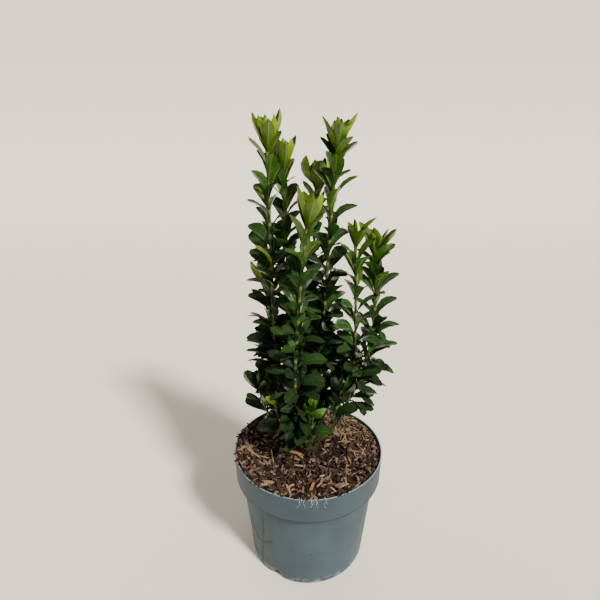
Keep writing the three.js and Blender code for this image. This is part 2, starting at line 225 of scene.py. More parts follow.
@dataclass
class Surface:
    """A mesh in the making, in millimetres.

    Each face is four point numbers, the last of them -1 where the face is a triangle. Each has the number
    of its material's slot. The mark is a share for each point, which a finish may read.
    """

    points: Array
    faces: Array
    slots: Array | int = 0
    mark: Array | float = 0.0

    def __post_init__(self) -> None:
        """Spreads a single slot or mark over all faces or points."""
        self.slots = np.broadcast_to(self.slots, len(self.faces))
        self.mark = np.broadcast_to(self.mark, len(self.points))

    def copies(self, points: Array, slots: Array) -> "Surface":
        """Repeats the faces over many sets of points.

        Args:
            points: The copies' points, one set for each copy.
            slots: For each copy, the material slot of each kind of face.

        Returns:
            All copies as one surface.
        """
        offset = np.arange(len(points))[:, None, None] * points.shape[1]
        faces = np.where(self.faces < 0, -1, self.faces + offset).reshape(-1, 4)
        return Surface(points.reshape(-1, 3), faces, slots[:, self.slots].ravel())

    def build(
        self, name: str, finishes: list[bpy.types.Material], sharp: float, slot: str = "",
        nodes: tuple[str, ...] = (),
    ) -> Piece:
        """Makes the object, with its place in its mesh.

        Args:
            name: The piece's name.
            finishes: Its materials, in the order of the slots.
            sharp: The angle in degrees past which an edge isn't smoothed.
            slot: The solid's material slot that it dresses. Not used.
            nodes: The solids that it replaces. Without them it isn't a piece of the plant.

        Returns:
            The object, in the scene.
        """
        real = self.faces >= 0
        corners = self.faces[real]
        sides = real.sum(axis=1)
        mesh = bpy.data.meshes.new(name)
        mesh.vertices.add(len(self.points))
        mesh.vertices.foreach_set("co", (self.points * MM).astype(np.float32).ravel())
        mesh.loops.add(len(corners))
        mesh.loops.foreach_set("vertex_index", corners.astype(np.int32))
        mesh.polygons.add(len(sides))
        mesh.polygons.foreach_set("loop_start", (np.cumsum(sides) - sides).astype(np.int32))
        mesh.polygons.foreach_set("material_index", self.slots.astype(np.int32))
        mark = mesh.attributes.new("mark", "FLOAT", "POINT")
        mark.data.foreach_set("value", self.mark.astype(np.float32))
        for finish in finishes:
            mesh.materials.append(finish)
        mesh.update(calc_edges=True)
        mesh.shade_smooth()
        mesh.set_sharp_from_angle(angle=math.radians(sharp))
        piece = bpy.data.objects.new(name, mesh)
        bpy.context.scene.collection.objects.link(piece)
        if nodes:
            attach(piece, BODY)
            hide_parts(*nodes)
        return piece


def joined(parts: list[Surface]) -> Surface:
    """Joins surfaces into one.

    Args:
        parts: The surfaces.

    Returns:
        One surface with their points and faces in the same order.
    """
    starts = np.cumsum([0, *(len(part.points) for part in parts[:-1])])
    faces = [np.where(part.faces < 0, -1, part.faces + start) for part, start in zip(parts, starts)]
    rest = (np.concatenate([getattr(part, name) for part in parts]) for name in ("slots", "mark"))
    return Surface(np.concatenate([part.points for part in parts]), np.concatenate(faces), *rest)


def ring_stack(rings: Array, foot: Array, top: Array, mark: Array | float = 0.0) -> Surface:
    """Skins a stack of rings, and closes each end with a fan to its pole.

    Args:
        rings: The points of each ring, lowest first and each the same way round.
        foot: The pole before the first ring.
        top: The pole after the last ring.
        mark: The mark of each ring or point. The poles have none.

    Returns:
        The closed surface.
    """
    rows, sides = rings.shape[:2]
    side, none, pole = np.arange(sides), np.full(sides, -1), np.full(sides, rows * sides)
    after, last = (side + 1) % sides, (rows - 1) * sides
    fans = [(pole, after, side, none), (last + side, last + after, pole + 1, none)]
    faces = [grid_faces(rows, sides, wrap=True), *(np.stack(fan, axis=-1) for fan in fans)]
    points = np.concatenate([rings.reshape(-1, 3), [foot], [top]])
    marks = np.append(np.broadcast_to(mark, (rows, sides)), [0.0, 0.0])
    return Surface(points, np.concatenate(faces), 0, marks)


def tube(
    path: Array, radius: Array, sides: int, ripple: Array | float = 0.0, mark: Array | float = 0.0
) -> Surface:
    """Carries a round section along a rising path.

    Each point is the path's point, plus the radius times the cosine of its turn along +X and the sine
    along +Y, times 1 plus the ripple.

    Args:
        path: One point a ring, lowest first.
        radius: One radius a ring.
        sides: The number of points in a ring.
        ripple: The share that the radius grows by at each ring and side.
        mark: The mark of each ring.

    Returns:
        The closed surface.
    """
    reach = radius[:, None] * (1 + ripple + np.zeros((1, sides)))
    rings = path[:, None, :] + reach[..., None] * on_circle(1.0, around(sides))
    return ring_stack(rings, path[0], path[-1], mark)


# Finishes


class Finish:
    """What all finishes share: a Principled shader, fed by patterns in the piece's own space."""

    name: str

    def patches(self, tree: Tree, size_mm: float, detail: float = 2.0) -> Socket:
        """Gives a number from 0 to 1 that wanders from patch to patch.

        Args:
            tree: The material's nodes.
            size_mm: The size of the patches in millimetres.
            detail: How many finer layers they have.

        Returns:
            The number.
        """
        own = add_node(tree, "ShaderNodeTexCoord", output="Object")
        inputs = {"Vector": own, "Scale": 1 / (size_mm * MM), "Detail": detail}
        return add_node(tree, "ShaderNodeTexNoise", inputs)

    def inputs(self, tree: Tree) -> dict:
        """Gives the shader's inputs by name, each finish in its own way."""
        raise NotImplementedError

    def material(self) -> bpy.types.Material:
        """Makes the material, with only this shader and its output.

        Returns:
            The material.
        """
        material = bpy.data.materials.new(self.name)
        material.use_nodes = True
        tree = material.node_tree
        tree.nodes.clear()
        surface = add_node(tree, "ShaderNodeBsdfPrincipled", self.inputs(tree))
        tree.links.new(surface, tree.nodes.new("ShaderNodeOutputMaterial").inputs["Surface"])
        return material


@dataclass(frozen=True)
class MouldedPolypropylene(Finish):
    """Injection-moulded polypropylene, satin and a little milky.

    A slow haze and fine dark specks break up its blue-grey. Its lip is worn pale all round, a paleness that
    also stands as a painted highlight along the edge, and its foot is worn pale in patches. Painted shade
    darkens a band in the collar's fold and the creases. Heights and depths are millimetres.
    The grain is drawn coarser than the mould's own, so that it shows.
    """

    name: str = "moulded_polypropylene"
    body: str = "#31424c"
    pale: str = "#3b4e59"
    speck: str = "#1b2327"
    # Pale worn plastic at the foot; at the lip it is also a painted highlight.
    rubbed_and_highlight: str = "#7f929b"
    painted_shade: str = "#1c272c"
    # The colour of the painted shade in the collar's fold and the creases.
    haze_mm: float = 46.0
    speck_mm: float = 5.0
    scuff_mm: float = 9.0
    scuff_edge: Range = (0.43, 0.58)
    gloss_mm: float = 4.2
    roughness: Range = (0.5, 0.68)
    grain_mm: float = 0.7
    grain_depth: float = 0.05
    lip: Range = (137.1, 137.8)
    lip_wear_and_highlight: float = 0.7
    foot: Range = (11.0, 2.4)
    foot_wear: float = 0.9
    # Where the band of painted shade lies in the collar's fold, by height.
    fold: float = 107.6
    fold_width: float = 1.6
    painted_shade_share: float = 0.6

    def inputs(self, tree: Tree) -> dict:
        """Lays specks, worn pale edges with a painted highlight on the lip, and painted shade over the
        haze, and roughens the surface in fine grain.

        Args:
            tree: The material's nodes.

        Returns:
            The shader's inputs by name.
        """
        own = add_node(tree, "ShaderNodeTexCoord", output="Object")
        height = add_node(tree, "ShaderNodeSeparateXYZ", {"Vector": own}, output="Z")
        names = ("Value", "From Min", "From Max", "To Min", "To Max")
        lip, foot, scuffs, roughness = (
            add_node(tree, "ShaderNodeMapRange", dict(zip(names, values)))
            for values in (
                (height, self.lip[0] * MM, self.lip[1] * MM, 0.0, self.lip_wear_and_highlight),
                (height, self.foot[0] * MM, self.foot[1] * MM, 0.0, self.foot_wear),
                (self.patches(tree, self.scuff_mm, 5.0), *self.scuff_edge, 0.0, 1.0),
                (self.patches(tree, self.gloss_mm), 0.0, 1.0, *self.roughness),
            )
        )
        # Painted shade: a band in the collar's fold and the creases, by their mark, is darkened where shade
        # falls.
        creases = add_node(tree, "ShaderNodeAttribute", output="Fac", attribute_name="mark")
        fold = {0: height, 1: self.fold * MM, 2: self.fold_width * MM}
        in_fold = add_node(tree, "ShaderNodeMath", fold, operation="COMPARE")
        worn = add_node(tree, "ShaderNodeMath", {0: foot, 1: scuffs}, operation="MULTIPLY")
        # The lip's pale band is wear and a painted highlight; the foot's pale patches are wear.
        edges = add_node(tree, "ShaderNodeMath", {0: lip, 1: worn}, operation="MAXIMUM")
        grooves = add_node(tree, "ShaderNodeMath", {0: in_fold, 1: creases}, operation="MAXIMUM")
        painted_shade = add_node(tree, "ShaderNodeMath", {0: grooves, 1: self.painted_shade_share}, operation="MULTIPLY")
        haze, specks = (
            add_node(tree, "ShaderNodeValToRGB", {"Fac": self.patches(tree, size, detail)}, stops)
            for size, detail, stops in (
                (self.haze_mm, 2.0, ((0.35, self.body), (0.7, self.pale))),
                (self.speck_mm, 3.0, ((0.715, "#000000"), (0.735, "#ffffff"))),
            )
        )
        colour = haze
        for share, layer in ((specks, self.speck), (edges, self.rubbed_and_highlight), (painted_shade, self.painted_shade)):
            mixed = {"Factor": share, 6: colour, 7: linear(layer)}
            colour = add_node(tree, "ShaderNodeMix", mixed, output=2, data_type="RGBA")
        grain = self.patches(tree, self.grain_mm)
        bump = {"Height": grain, "Strength": 0.12, "Distance": self.grain_depth * MM}
        return {
            "Base Color": colour,
            "Roughness": roughness,
            "Normal": add_node(tree, "ShaderNodeBump", bump),
            "IOR": 1.49,
            "Specular IOR Level": 0.35,
        }


@dataclass(frozen=True)
class Weathered(Finish):
    """A dull plant fibre or crumb, such as bark, straw or compost: two tones in patches, and no gloss."""

    name: str
    dark: str
    light: str
    grain_mm: float
    relief_mm: float = 0.3

    def inputs(self, tree: Tree) -> dict:
        """Blends the two tones in patches of the grain's size, and raises the surface in finer ones.

        Args:
            tree: The material's nodes.

        Returns:
            The shader's inputs by name.
        """
        tones = {"Fac": self.patches(tree, self.grain_mm, 4.0)}
        stops = ((0.3, self.dark), (0.68, self.light))
        crumbs = self.patches(tree, self.grain_mm / 3, 3.0)
        bump = {"Height": crumbs, "Strength": 0.6, "Distance": self.relief_mm * MM}
        return {
            "Base Color": add_node(tree, "ShaderNodeValToRGB", tones, stops),
            "Normal": add_node(tree, "ShaderNodeBump", bump),
            "Roughness": 0.92,
            "Specular IOR Level": 0.25,
        }


@dataclass(frozen=True)
class YoungBark(Finish):
    """Smooth young bark on this year's shoots: olive and waxy, with paler rings at the leaf joints."""

    name: str = "young_olive_bark"
    low: str = "#2d3d17"
    high: str = "#3e501f"
    joint: str = "#747e40"
    grain_mm: float = 4.0

    def inputs(self, tree: Tree) -> dict:
        """Blends two olive tones in patches, and mixes in the paler one where the mark says a joint is.

        Args:
            tree: The material's nodes.

        Returns:
            The shader's inputs by name.
        """
        patches = {"Fac": self.patches(tree, self.grain_mm)}
        tones = add_node(tree, "ShaderNodeValToRGB", patches, ((0.3, self.low), (0.7, self.high)))
        joint = add_node(tree, "ShaderNodeAttribute", output="Fac", attribute_name="mark")
        ringed = {"Factor": joint, 6: tones, 7: linear(self.joint)}
        colour = add_node(tree, "ShaderNodeMix", ringed, output=2, data_type="RGBA")
        return {"Base Color": colour, "Roughness": 0.5}


@dataclass(frozen=True)
class LeafFace(Finish):
    """One face of a leathery spindle leaf: green tissue with a fine mottle and dimples, under a thin wax.

    The dimples are drawn coarser than a leaf's own, so that they show.
    """

    name: str
    colour: str
    mottle: str
    roughness: float
    coat: float
    shine: float
    patch_mm: float = 5.0
    dimple_mm: float = 1.6
    dimple_depth: float = 0.12

    def inputs(self, tree: Tree) -> dict:
        """Mottles the colour a little, dimples the surface, and lays the wax over it as a thin coat.

        Args:
            tree: The material's nodes.

        Returns:
            The shader's inputs by name.
        """
        patches = {"Fac": self.patches(tree, self.patch_mm)}
        dimples = self.patches(tree, self.dimple_mm)
        bump = {"Height": dimples, "Strength": 0.25, "Distance": self.dimple_depth * MM}
        stops = ((0.35, self.colour), (0.75, self.mottle))
        return {
            "Base Color": add_node(tree, "ShaderNodeValToRGB", patches, stops),
            "Normal": add_node(tree, "ShaderNodeBump", bump),
            "Roughness": self.roughness,
            "Coat Weight": self.coat,
            "Coat Roughness": 0.22,
            "Specular IOR Level": self.shine,
            "IOR": 1.45,
        }


@dataclass(frozen=True)
class StudioPaper(Finish):
    """Matt seamless paper, pale and without any sheen."""

    name: str = "pale_studio_floor"

    def inputs(self, tree: Tree) -> dict:
        """Gives the plain colour."""
        return {"Base Color": linear("#e6e3dc"), "Roughness": 0.9}


# Pine bark in the weather: wet pieces are nearly black, and dry ones go umber, rust, grey and tan
BARK_TONES = (
    Weathered("bark_black", "#0f0b09", "#1c1511", 1.5),
    Weathered("bark_umber", "#1d130f", "#31231d", 1.8),
    Weathered("bark_brown", "#30231d", "#48372f", 1.8),
    Weathered("bark_rust", "#3b281f", "#574031", 1.6),
    Weathered("bark_mauve_grey", "#52443f", "#7d6c63", 1.6),
    Weathered("bark_tan", "#6a5444", "#8e745f", 1.6),
)
# Wood from under the bark: a torn splinter is orange, and pales as it dries
SPLIT_WOOD = (
    Weathered("split_wood_orange", "#775038", "#9b714f", 2.2),
    Weathered("split_wood_pale", "#80694f", "#a68d6f", 2.2),
)
# Damp fines are nearly black, and the bed's near-black also stands as painted shade between its chips
BARK_FINES_AND_SHADE = Weathered("damp_bark_fines", "#0f0b09", "#221813", 2.4, 0.8)
# Dead grass and needles, bleached to a dull grey yellow
DRY_STRAW = Weathered("dry_straw", "#685b42", "#988967", 3.0)
# Young roots in the air, nearly white against the pot
ROOTLET = Weathered("rootlet", "#b9b6a4", "#d9d6c6", 2.0)
# Moist compost, dark brown and coarse
COMPOST = Weathered("moist_compost", "#1b1410", "#3a2c22", 3.0, 1.0)
# Old bark at the stems' foot, dull brown and rough
STUMP_BARK = Weathered("furrowed_bark", "#1f1a12", "#393022", 3.0, 0.5)

# Leaves harden from lime to a deep waxy green, with duller undersides and midribs that start out paler. The
# darkest green is age and also painted shade, deep and low in the crown.
LEAF_FACES = (
    LeafFace("leaf_bud", "#607c0c", "#708d19", 0.45, 0.08, 0.3),
    LeafFace("leaf_young", "#3f5c0e", "#4c6b17", 0.42, 0.15, 0.35),
    LeafFace("leaf_fresh", "#335f14", "#3d6b1b", 0.4, 0.3, 0.45),
    LeafFace("leaf_mature", "#214616", "#2a521d", 0.38, 0.4, 0.5),
    LeafFace("leaf_deep", "#0b1e0d", "#102812", 0.38, 0.4, 0.5),
    LeafFace("leaf_yellow", "#71891c", "#7f9728", 0.45, 0.05, 0.3),
    LeafFace("leaf_russet", "#4d2713", "#3f2b12", 0.5, 0.05, 0.3),
    LeafFace("midrib_young", "#657a25", "#71862e", 0.45, 0.0, 0.3),
    LeafFace("midrib_mature", "#264818", "#2f5220", 0.42, 0.1, 0.35),
    LeafFace("under_young", "#42560c", "#4d6214", 0.55, 0.0, 0.15),
    LeafFace("under_fresh", "#2f4716", "#39521d", 0.58, 0.0, 0.12),
    LeafFace("under_mature", "#203618", "#28401f", 0.6, 0.0, 0.1),
    LeafFace("under_deep", "#192a15", "#20341b", 0.6, 0.0, 0.1),
    LeafFace("under_yellow", "#66752a", "#727f36", 0.58, 0.0, 0.15),
)


class Tint(Enum):
    """A leaf's age or odd colour, with the slots of its upper face, its midrib and its under face."""

    BUD = (0, 7, 9)
    YOUNG = (1, 7, 9)
    FRESH = (2, 7, 10)
    MATURE = (3, 8, 11)
    # The oldest leaves, darkened further as painted shade deep and low in the crown.
    DEEP = (4, 11, 12)
    YELLOW = (5, 7, 13)
    RUSSET = (6, 8, 12)


# The pot and what fills it


@dataclass
class NurseryPot:
    """A thin moulded pot: a tapered body, a wide straight collar and a flat floor with drainage holes.

    Each wave of the wall's waver has a size, a count round the pot, a phase, and how far it turns up to the
    rim. The dent and the creases' bends are at a bearing in degrees and a height.
    """

    height: float = POT_HEIGHT
    rim: float = RIM_RADIUS
    collar_height: float = 31.0
    collar_foot: float = 84.0
    collar_step: float = 3.0
    body_top: float = 77.5
    base: float = 67.5
    bevel: float = 2.5
    wall: float = WALL
    holes: int = 8
    hole_radius: float = 5.0
    hole_ring: float = 48.0
    plug_overlap: float = 3.0
    plug_sides: int = 24
    sides: int = 320
    centre_ring: float = 20.0
    corner_round: float = 0.5
    lip_steps: int = 8
    outer_step: float = 2.0
    inner_step: float = 8.0
    least_wall: float = 60.0
    waves: Rows = ((0.22, 3, 0.7, 0.0), (0.1, 7, 0.0, 5.0))
    dent: Range = (238.0, 4.0)
    dent_size: Range = (0.13, 9.0)
    dent_depth: float = 2.4
    creases: tuple[tuple[Range, ...], ...] = (
        ((229.8, 91.7), (227.9, 70.0), (224.0, 40.0), (219.0, 4.0)),
        ((210.4, 70.8), (210.6, 59.1), (213.5, 48.9), (219.5, 45.5), (227.6, 48.2), (236.1, 57.2)),
    )
    crease_depth: float = 1.0
    crease_width: float = 1.5
    crease_shade: float = 0.55

    def corners(self, inset: float) -> Array:
        """Lists the wall's corners from the floor's edge up to under the lip.

        Args:
            inset: How far they are drawn in from the outside.

        Returns:
            The radius and height of each.
        """
        slope = (self.body_top - self.base) / (self.height - self.collar_height)
        step_foot = self.height - self.collar_height - self.collar_step
        return np.array([
            (self.base - self.bevel - inset, inset),
            (self.base - inset, self.bevel + inset),
            (self.base + slope * step_foot - inset, step_foot),
            (self.collar_foot - inset, self.height - self.collar_height),
            (self.rim - inset, self.height - self.wall / 2),
        ])

    def rounded(self, corners: Array, step: float) -> Array:
        """Cuts an outline into short steps, and rounds each inner corner with an arc of three points.

        Args:
            corners: The outline's corners.
            step: The longest step in millimetres.

        Returns:
            The radius and height of each ring.
        """
        before = corners[1:-1] + unit(corners[:-2] - corners[1:-1]) * self.corner_round
        after = corners[1:-1] + unit(corners[2:] - corners[1:-1]) * self.corner_round
        arcs = np.stack([before, (2 * corners[1:-1] + before + after) / 4, after], axis=1)
        starts = np.concatenate([corners[:1], after])
        ends = np.concatenate([before, corners[-1:]])
        rings = [corners[:1]]
        for start, end, arc in zip(starts, ends, [*arcs, corners[-1:]]):
            count = int(np.linalg.norm(end - start) / step) + 1
            share = np.linspace(0, 1, count, endpoint=False)[1:, None]
            rings += [start * (1 - share) + end * share, arc]
        return np.concatenate(rings)

    def profile(self) -> Array:
        """Works out the wall's section from the underside up over the lip and down to the floor.

        Every straight is cut into short lengths, every corner has a small arc, and the lip is half a
        circle of the wall's thickness.

        Returns:
            The radius and height of each ring.
        """
        outer = self.rounded(self.corners(0.0), self.outer_step)
        inner = self.rounded(self.corners(self.wall), self.inner_step)[::-1]
        turn = np.linspace(0, np.pi, self.lip_steps + 1)[1:-1]
        middle = (self.rim - self.wall / 2, self.height - self.wall / 2)
        lip = np.stack([np.cos(turn), np.sin(turn)], axis=-1) * self.wall / 2 + middle
        below, above = [(self.centre_ring, 0.0)], [(self.centre_ring, self.wall)]
        return np.concatenate([below, outer, lip, inner, above])

    def pressed(self, bearing: Array, z: Array) -> Array:
        """Works out how far the creases press the wall in: a narrow bell across each of their lines.

        Args:
            bearing: The bearing of each column of points.
            z: The height of each row.

        Returns:
            The depth at each point.
        """
        deepest = np.zeros(np.broadcast_shapes(bearing.shape, z.shape))
        across = bearing * self.base
        for crease in self.creases:
            line = np.array(crease) * [math.radians(1) * self.base, 1.0]
            for start, end in zip(line[:-1], line[1:]):
                run = end - start
                share = ((across - start[0]) * run[0] + (z - start[1]) * run[1]) / (run @ run)
                share = np.clip(share, 0, 1)
                away = np.hypot(across - start[0] - share * run[0], z - start[1] - share * run[1])
                bell = np.exp(-((away / self.crease_width) ** 2))
                deepest = np.maximum(deepest, self.crease_depth * bell)
        return deepest

    def shell(self) -> Surface:
        """Turns the section round the axis, with the waver, dent and creases of a thin wall.

        Each radius of the wall grows by the waves, which fade out at the floor, less the creases and a
        bell-shaped dent. The mark is painted shade in the creases.

        Returns:
            The closed shell.
        """
        bearing = around(self.sides)
        radius, z = np.split(self.profile(), 2, axis=1)
        lift = np.clip(z / self.height, 0, 1)
        waver = sum(
            size * lift * np.sin(count * bearing + phase + rise * lift)
            for size, count, phase, rise in self.waves
        )
        turned = np.angle(np.exp(1j * (bearing - math.radians(self.dent[0]))))
        bell = np.exp(-(turned / self.dent_size[0]) ** 2 - ((z - self.dent[1]) / self.dent_size[1]) ** 2)
        pressed = self.pressed(bearing, z)
        on_wall = radius > self.least_wall
        reach = radius + np.where(on_wall, waver - self.dent_depth * bell - pressed, 0)
        # The creases' mark is painted shade.
        painted_shade = np.where(on_wall, pressed / self.crease_depth * self.crease_shade, 0)
        return ring_stack(on_circle(reach, bearing, z), (0, 0, 0), (0, 0, self.wall), painted_shade)

    def drills(self) -> Surface:
        """Makes the plugs that the drainage holes are cut with, one ring of them through the floor.

        Returns:
            The plugs.
        """
        bearing = (np.arange(self.holes) + 0.5) * FULL_TURN / self.holes
        ends = np.array([(0, 0, -self.plug_overlap), (0, 0, self.wall + self.plug_overlap)])
        plug = tube(ends, np.full(2, self.hole_radius), self.plug_sides)
        places = plug.points + on_circle(self.hole_ring, bearing)[:, None, :]
        return plug.copies(places, np.zeros((self.holes, 1), int))

    def build(self) -> Piece:
        """Dresses the shell and cuts the holes into it.

        Returns:
            The piece.
        """
        finishes = [MouldedPolypropylene().material()]
        piece = self.shell().build("nursery_pot", finishes, 40, "pot_plastic", ("pot",))
        tool = self.drills().build("drill", [], 40)
        cut = piece.modifiers.new("drainage", "BOOLEAN")
        cut.object = tool
        cut.solver = "EXACT"
        graph = bpy.context.evaluated_depsgraph_get()
        done = bpy.data.meshes.new_from_object(piece.evaluated_get(graph))
        piece.modifiers.clear()
        piece.data = done
        bpy.data.objects.remove(tool)
        return piece


@dataclass
class BarkMulch:
    """The layer of bark on the compost: a lumpy bed under loose chips, crumbs, straw and fine roots.

    The sizes of splinters and straws are the ends of their lengths, how much short ones prevail, and the
    ends of their widths and thicknesses. Each of the laid splinters, which catch the eye, has a place, a
    bearing, a length, a width, and 1 where it has dried pale. Most straws lie in a drift at the back right.
    The pitches are the most that chips, chips across the rim, splinters and straws are tilted, in degrees.
    Each wave of the bed's crumble has its pace, how far it is bent and the bend's own pace, and each wave
    of the rootlets' sway its size, its pace and the phase from one rootlet to the next.
    """

    chips: int = 3100
    edge_chips: int = 120
    edge_key: int = 700
    edge_size: float = 0.72
    edge_radii: Range = (80.5, 85.0)
    edge_bearings: Range = (150.0, 300.0)
    straws: int = 520
    drifted: float = 0.8
    drift_x: Range = (22.0, 74.0)
    drift_y: Range = (18.0, 66.0)
    straw_key: int = 9000
    straw_sizes: Sizes = ((4.0, 12.0), 1.5, (0.5, 0.9), (0.3, 0.6))
    splinters: int = 55
    splinter_key: int = 5000
    splinter_sizes: Sizes = ((8.0, 22.0), 1.4, (0.9, 2.0), (0.6, 1.2))
    laid_lift: float = 3.4
    laid_thickness: float = 1.1
    length: Range = (3.0, 11.0)
    short_power: float = 1.8
    width_share: Range = (0.2, 0.42)
    thickness_share: Range = (0.35, 0.6)
    thickness: Range = (0.6, 2.0)
    reach: float = RIM_RADIUS - WALL - 0.4
    free: float = 12.0
    straw_free: float = 20.0
    wall_gap: float = 0.4
    heap: Range = (0.0, 3.6)
    over_rim: float = POT_HEIGHT + 0.3
    raised: float = 0.2
    pitches: Numbers = (36.0, 14.0, 10.0, 26.0)
    roll: float = 34.0
    uneven: float = 0.22
    tone_shares: Numbers = (0.31, 0.23, 0.14, 0.06, 0.18)
    pale_on_top: float = 0.5
    rings: int = 42
    sides: int = 160
    floor_ring: float = 0.05
    top_ring: float = 0.02
    crumble: float = 0.5
    crumble_waves: Rows = ((0.9, 2.0, 0.31), (0.83, 2.0, 0.27))
    outline: tuple[Range, ...] = (
        (-0.5, -0.2), (-0.3, -0.5), (0.32, -0.46), (0.5, -0.05), (0.38, 0.44), (-0.34, 0.5),
    )
    upper_share: float = 0.84
    orange_share: float = 0.5
    roots: int = 11
    root_bearings: Range = (260.0, 281.0)
    root_radius: Range = (0.07, 0.15)
    root_reach: Place = (76.0, 85.6, 86.1)
    root_heights: Numbers = (133.5, 138.6, 139.0, 138.2)
    root_hang: Range = (3.0, 11.0)
    root_climb: float = 0.35
    root_crest: float = 0.5
    root_sway: float = 0.016
    root_waves: Rows = ((1.0, 7.0, 1.0), (0.6, 17.0, 2.0))
    root_rings: int = 15
    root_sides: int = 5
    laid: Rows = (
        (-64, -14, -44, 36, 1.4, 1), (-18.3, -12.4, -24, 31, 3.4, 0), (-23, -9.5, -20, 26, 1.2, 1),
        (57.3, -8.7, -15, 21, 1.5, 0), (-40.4, -20.4, -80, 25, 1.6, 1), (2.9, -66.9, -109, 21, 3.0, 0),
        (45.8, -23.3, -83, 16, 2.0, 0), (-10.7, -34.9, -10, 11, 1.4, 1), (-68, -7, -44, 14, 2.6, 0),
        (18.1, 18.2, 56, 15, 2.0, 0), (52.9, -14.3, -89, 9, 1.4, 1), (37.1, -64.8, 29, 10, 1.4, 1),
        (-44.7, -67.1, -16, 11, 2.4, 1), (-19.5, -67.1, 35, 11, 2.2, 1),
    )

    def bed(self) -> Surface:
        """Works out the bed: a floor and a wall, and rings on the bark's height with a fine crumble.

        The crumble is the product of two sines, each bent by a slower one.

        Returns:
            The closed surface.
        """
        radius = np.linspace(1, self.top_ring, self.rings)[:, None] * self.reach
        bearing = around(self.sides)
        x, y, _ = np.moveaxis(on_circle(radius, bearing), -1, 0)
        waves = (
            np.sin(pace * u + bend * np.sin(slow * v))
            for (pace, bend, slow), u, v in zip(self.crumble_waves, (x, y), (y, x))
        )
        height = mulch_height(x, y) + self.crumble * (math.prod(waves) - 1)
        floor = on_circle(np.array([[self.floor_ring], [1.0]]) * self.reach, bearing, MULCH_FOOT)
        rings = np.concatenate([floor, on_circle(radius, bearing, height)])
        return ring_stack(rings, rings[0].mean(axis=0), rings[-1].mean(axis=0))

    def flake(self) -> Surface:
        """Works out one bark flake of unit size: a six-sided plate whose upper face is a little smaller.

        Returns:
            The closed plate.
        """
        outline = np.array(self.outline)
        low = np.concatenate([outline, np.full((6, 1), -0.5)], axis=1)
        high = np.concatenate([outline * self.upper_share, np.full((6, 1), 0.5)], axis=1)
        caps = np.array([(6, 7, 8, 9), (6, 9, 10, 11), (3, 2, 1, 0), (5, 4, 3, 0)])
        return Surface(np.concatenate([low, high]), np.concatenate([grid_faces(2, 6, wrap=True), caps]))

    def spread(self, key: Array, free: float, draws: tuple[int, int]) -> Array:
        """Spreads places evenly over the bark: the radius goes by the square root of a share.

        Args:
            key: One number for each place.
            free: The least radius.
            draws: The draws for the radius and the bearing.

        Returns:
            The places.
        """
        radius = between((free, self.reach), np.sqrt(scatter(key, draws[0])))
        return on_circle(radius, dealt((0.0, FULL_TURN), key, draws[1]))

    def slivers(self, key: Array, sizes: Sizes) -> Array:
        """Deals splinters or straws their length, width and thickness, more of them short than long."""
        length, power, width, thickness = sizes
        lengths = between(length, scatter(key, 1) ** power)
        return np.stack([lengths, dealt(width, key, 2), dealt(thickness, key, 3)], axis=-1)

    def strewn(self, key: Array, places: Array, sizes: Array, pitch: float, over: bool = False) -> Array:
        """Lays flakes on the bark in all directions, clear of the pot's wall.

        Args:
            key: One number for each flake.
            places: Their places on the bark.
            sizes: Their lengths, widths and thicknesses.
            pitch: The most that a flake is tilted, in degrees.
            over: Whether they lie across the rim instead of inside it.

        Returns:
            The points of each flake.
        """
        yaw = dealt((0.0, FULL_TURN), key, 4)
        x, y = places[:, 0], places[:, 1]
        bearing, radius = np.arctan2(y, x), np.hypot(x, y)
        turned = yaw - bearing
        along = np.abs(np.cos(turned)) * sizes[:, 0] + np.abs(np.sin(turned)) * sizes[:, 1]
        inside = np.minimum(radius, self.reach - 0.5 * along - self.wall_gap)
        centre = on_circle(radius if over else inside, bearing)
        lift = between(self.heap, scatter(key, 7) ** 2)
        ground = mulch_height(centre[:, 0], centre[:, 1]) + lift
        centre[:, 2] = (self.over_rim if over else ground) + self.raised * sizes[:, 2]
        tilt = np.radians(pitch) * dealt((-1, 1), key, 8)
        roll = np.radians(self.roll) * dealt((-1, 1), key, 9)
        spin = turns(yaw, 2) @ turns(tilt, 1) @ turns(roll, 0)
        # Each of a flake's twelve corners is shifted along three axes, every shift by a draw of its own
        draws = np.arange(36).reshape(1, 12, 3) + 11
        local = self.flake().points + self.uneven * (scatter(key[:, None, None] * 7, draws) - 0.5)
        return np.einsum("nij,nkj->nki", spin, local * sizes[:, None, :]) + centre[:, None, :]

    def flakes(self, name: str, points: Array, tone: Array, finishes: tuple[Weathered, ...]) -> Piece:
        """Makes one piece of many flakes.

        Args:
            name: The piece's name.
            points: The points of each flake.
            tone: The number of each flake's finish.
            finishes: The finishes.

        Returns:
            The piece.
        """
        made = self.flake().copies(points, tone[:, None])
        return made.build(name, [f.material() for f in finishes], 30, "bark_chips", ("bark_mulch",))

    def chip_piece(self) -> Piece:
        """Makes the chips and crumbs in the tones of weathered pine bark, some of them across the rim.

        Returns:
            The piece.
        """
        key = np.arange(self.chips)
        edge = key[:self.edge_chips]
        length = between(self.length, scatter(key, 21) ** self.short_power)
        width = length * dealt(self.width_share, key, 2)
        thickness = np.clip(width * dealt(self.thickness_share, key, 3), *self.thickness)
        sizes = np.stack([length, width, thickness], axis=-1)
        height = between((scatter(key, 22), scatter(key, 7)), self.pale_on_top)
        tone = np.searchsorted(np.cumsum(self.tone_shares), height)
        points = self.strewn(key, self.spread(key, self.free, (6, 5)), sizes, self.pitches[0])
        bearing = np.radians(dealt(self.edge_bearings, edge, 36))
        across = on_circle(dealt(self.edge_radii, edge, 35), bearing)
        sizes = sizes[edge] * self.edge_size
        points[edge] = self.strewn(edge + self.edge_key, across, sizes, self.pitches[1], over=True)
        return self.flakes("bark_flakes", points, tone, BARK_TONES)

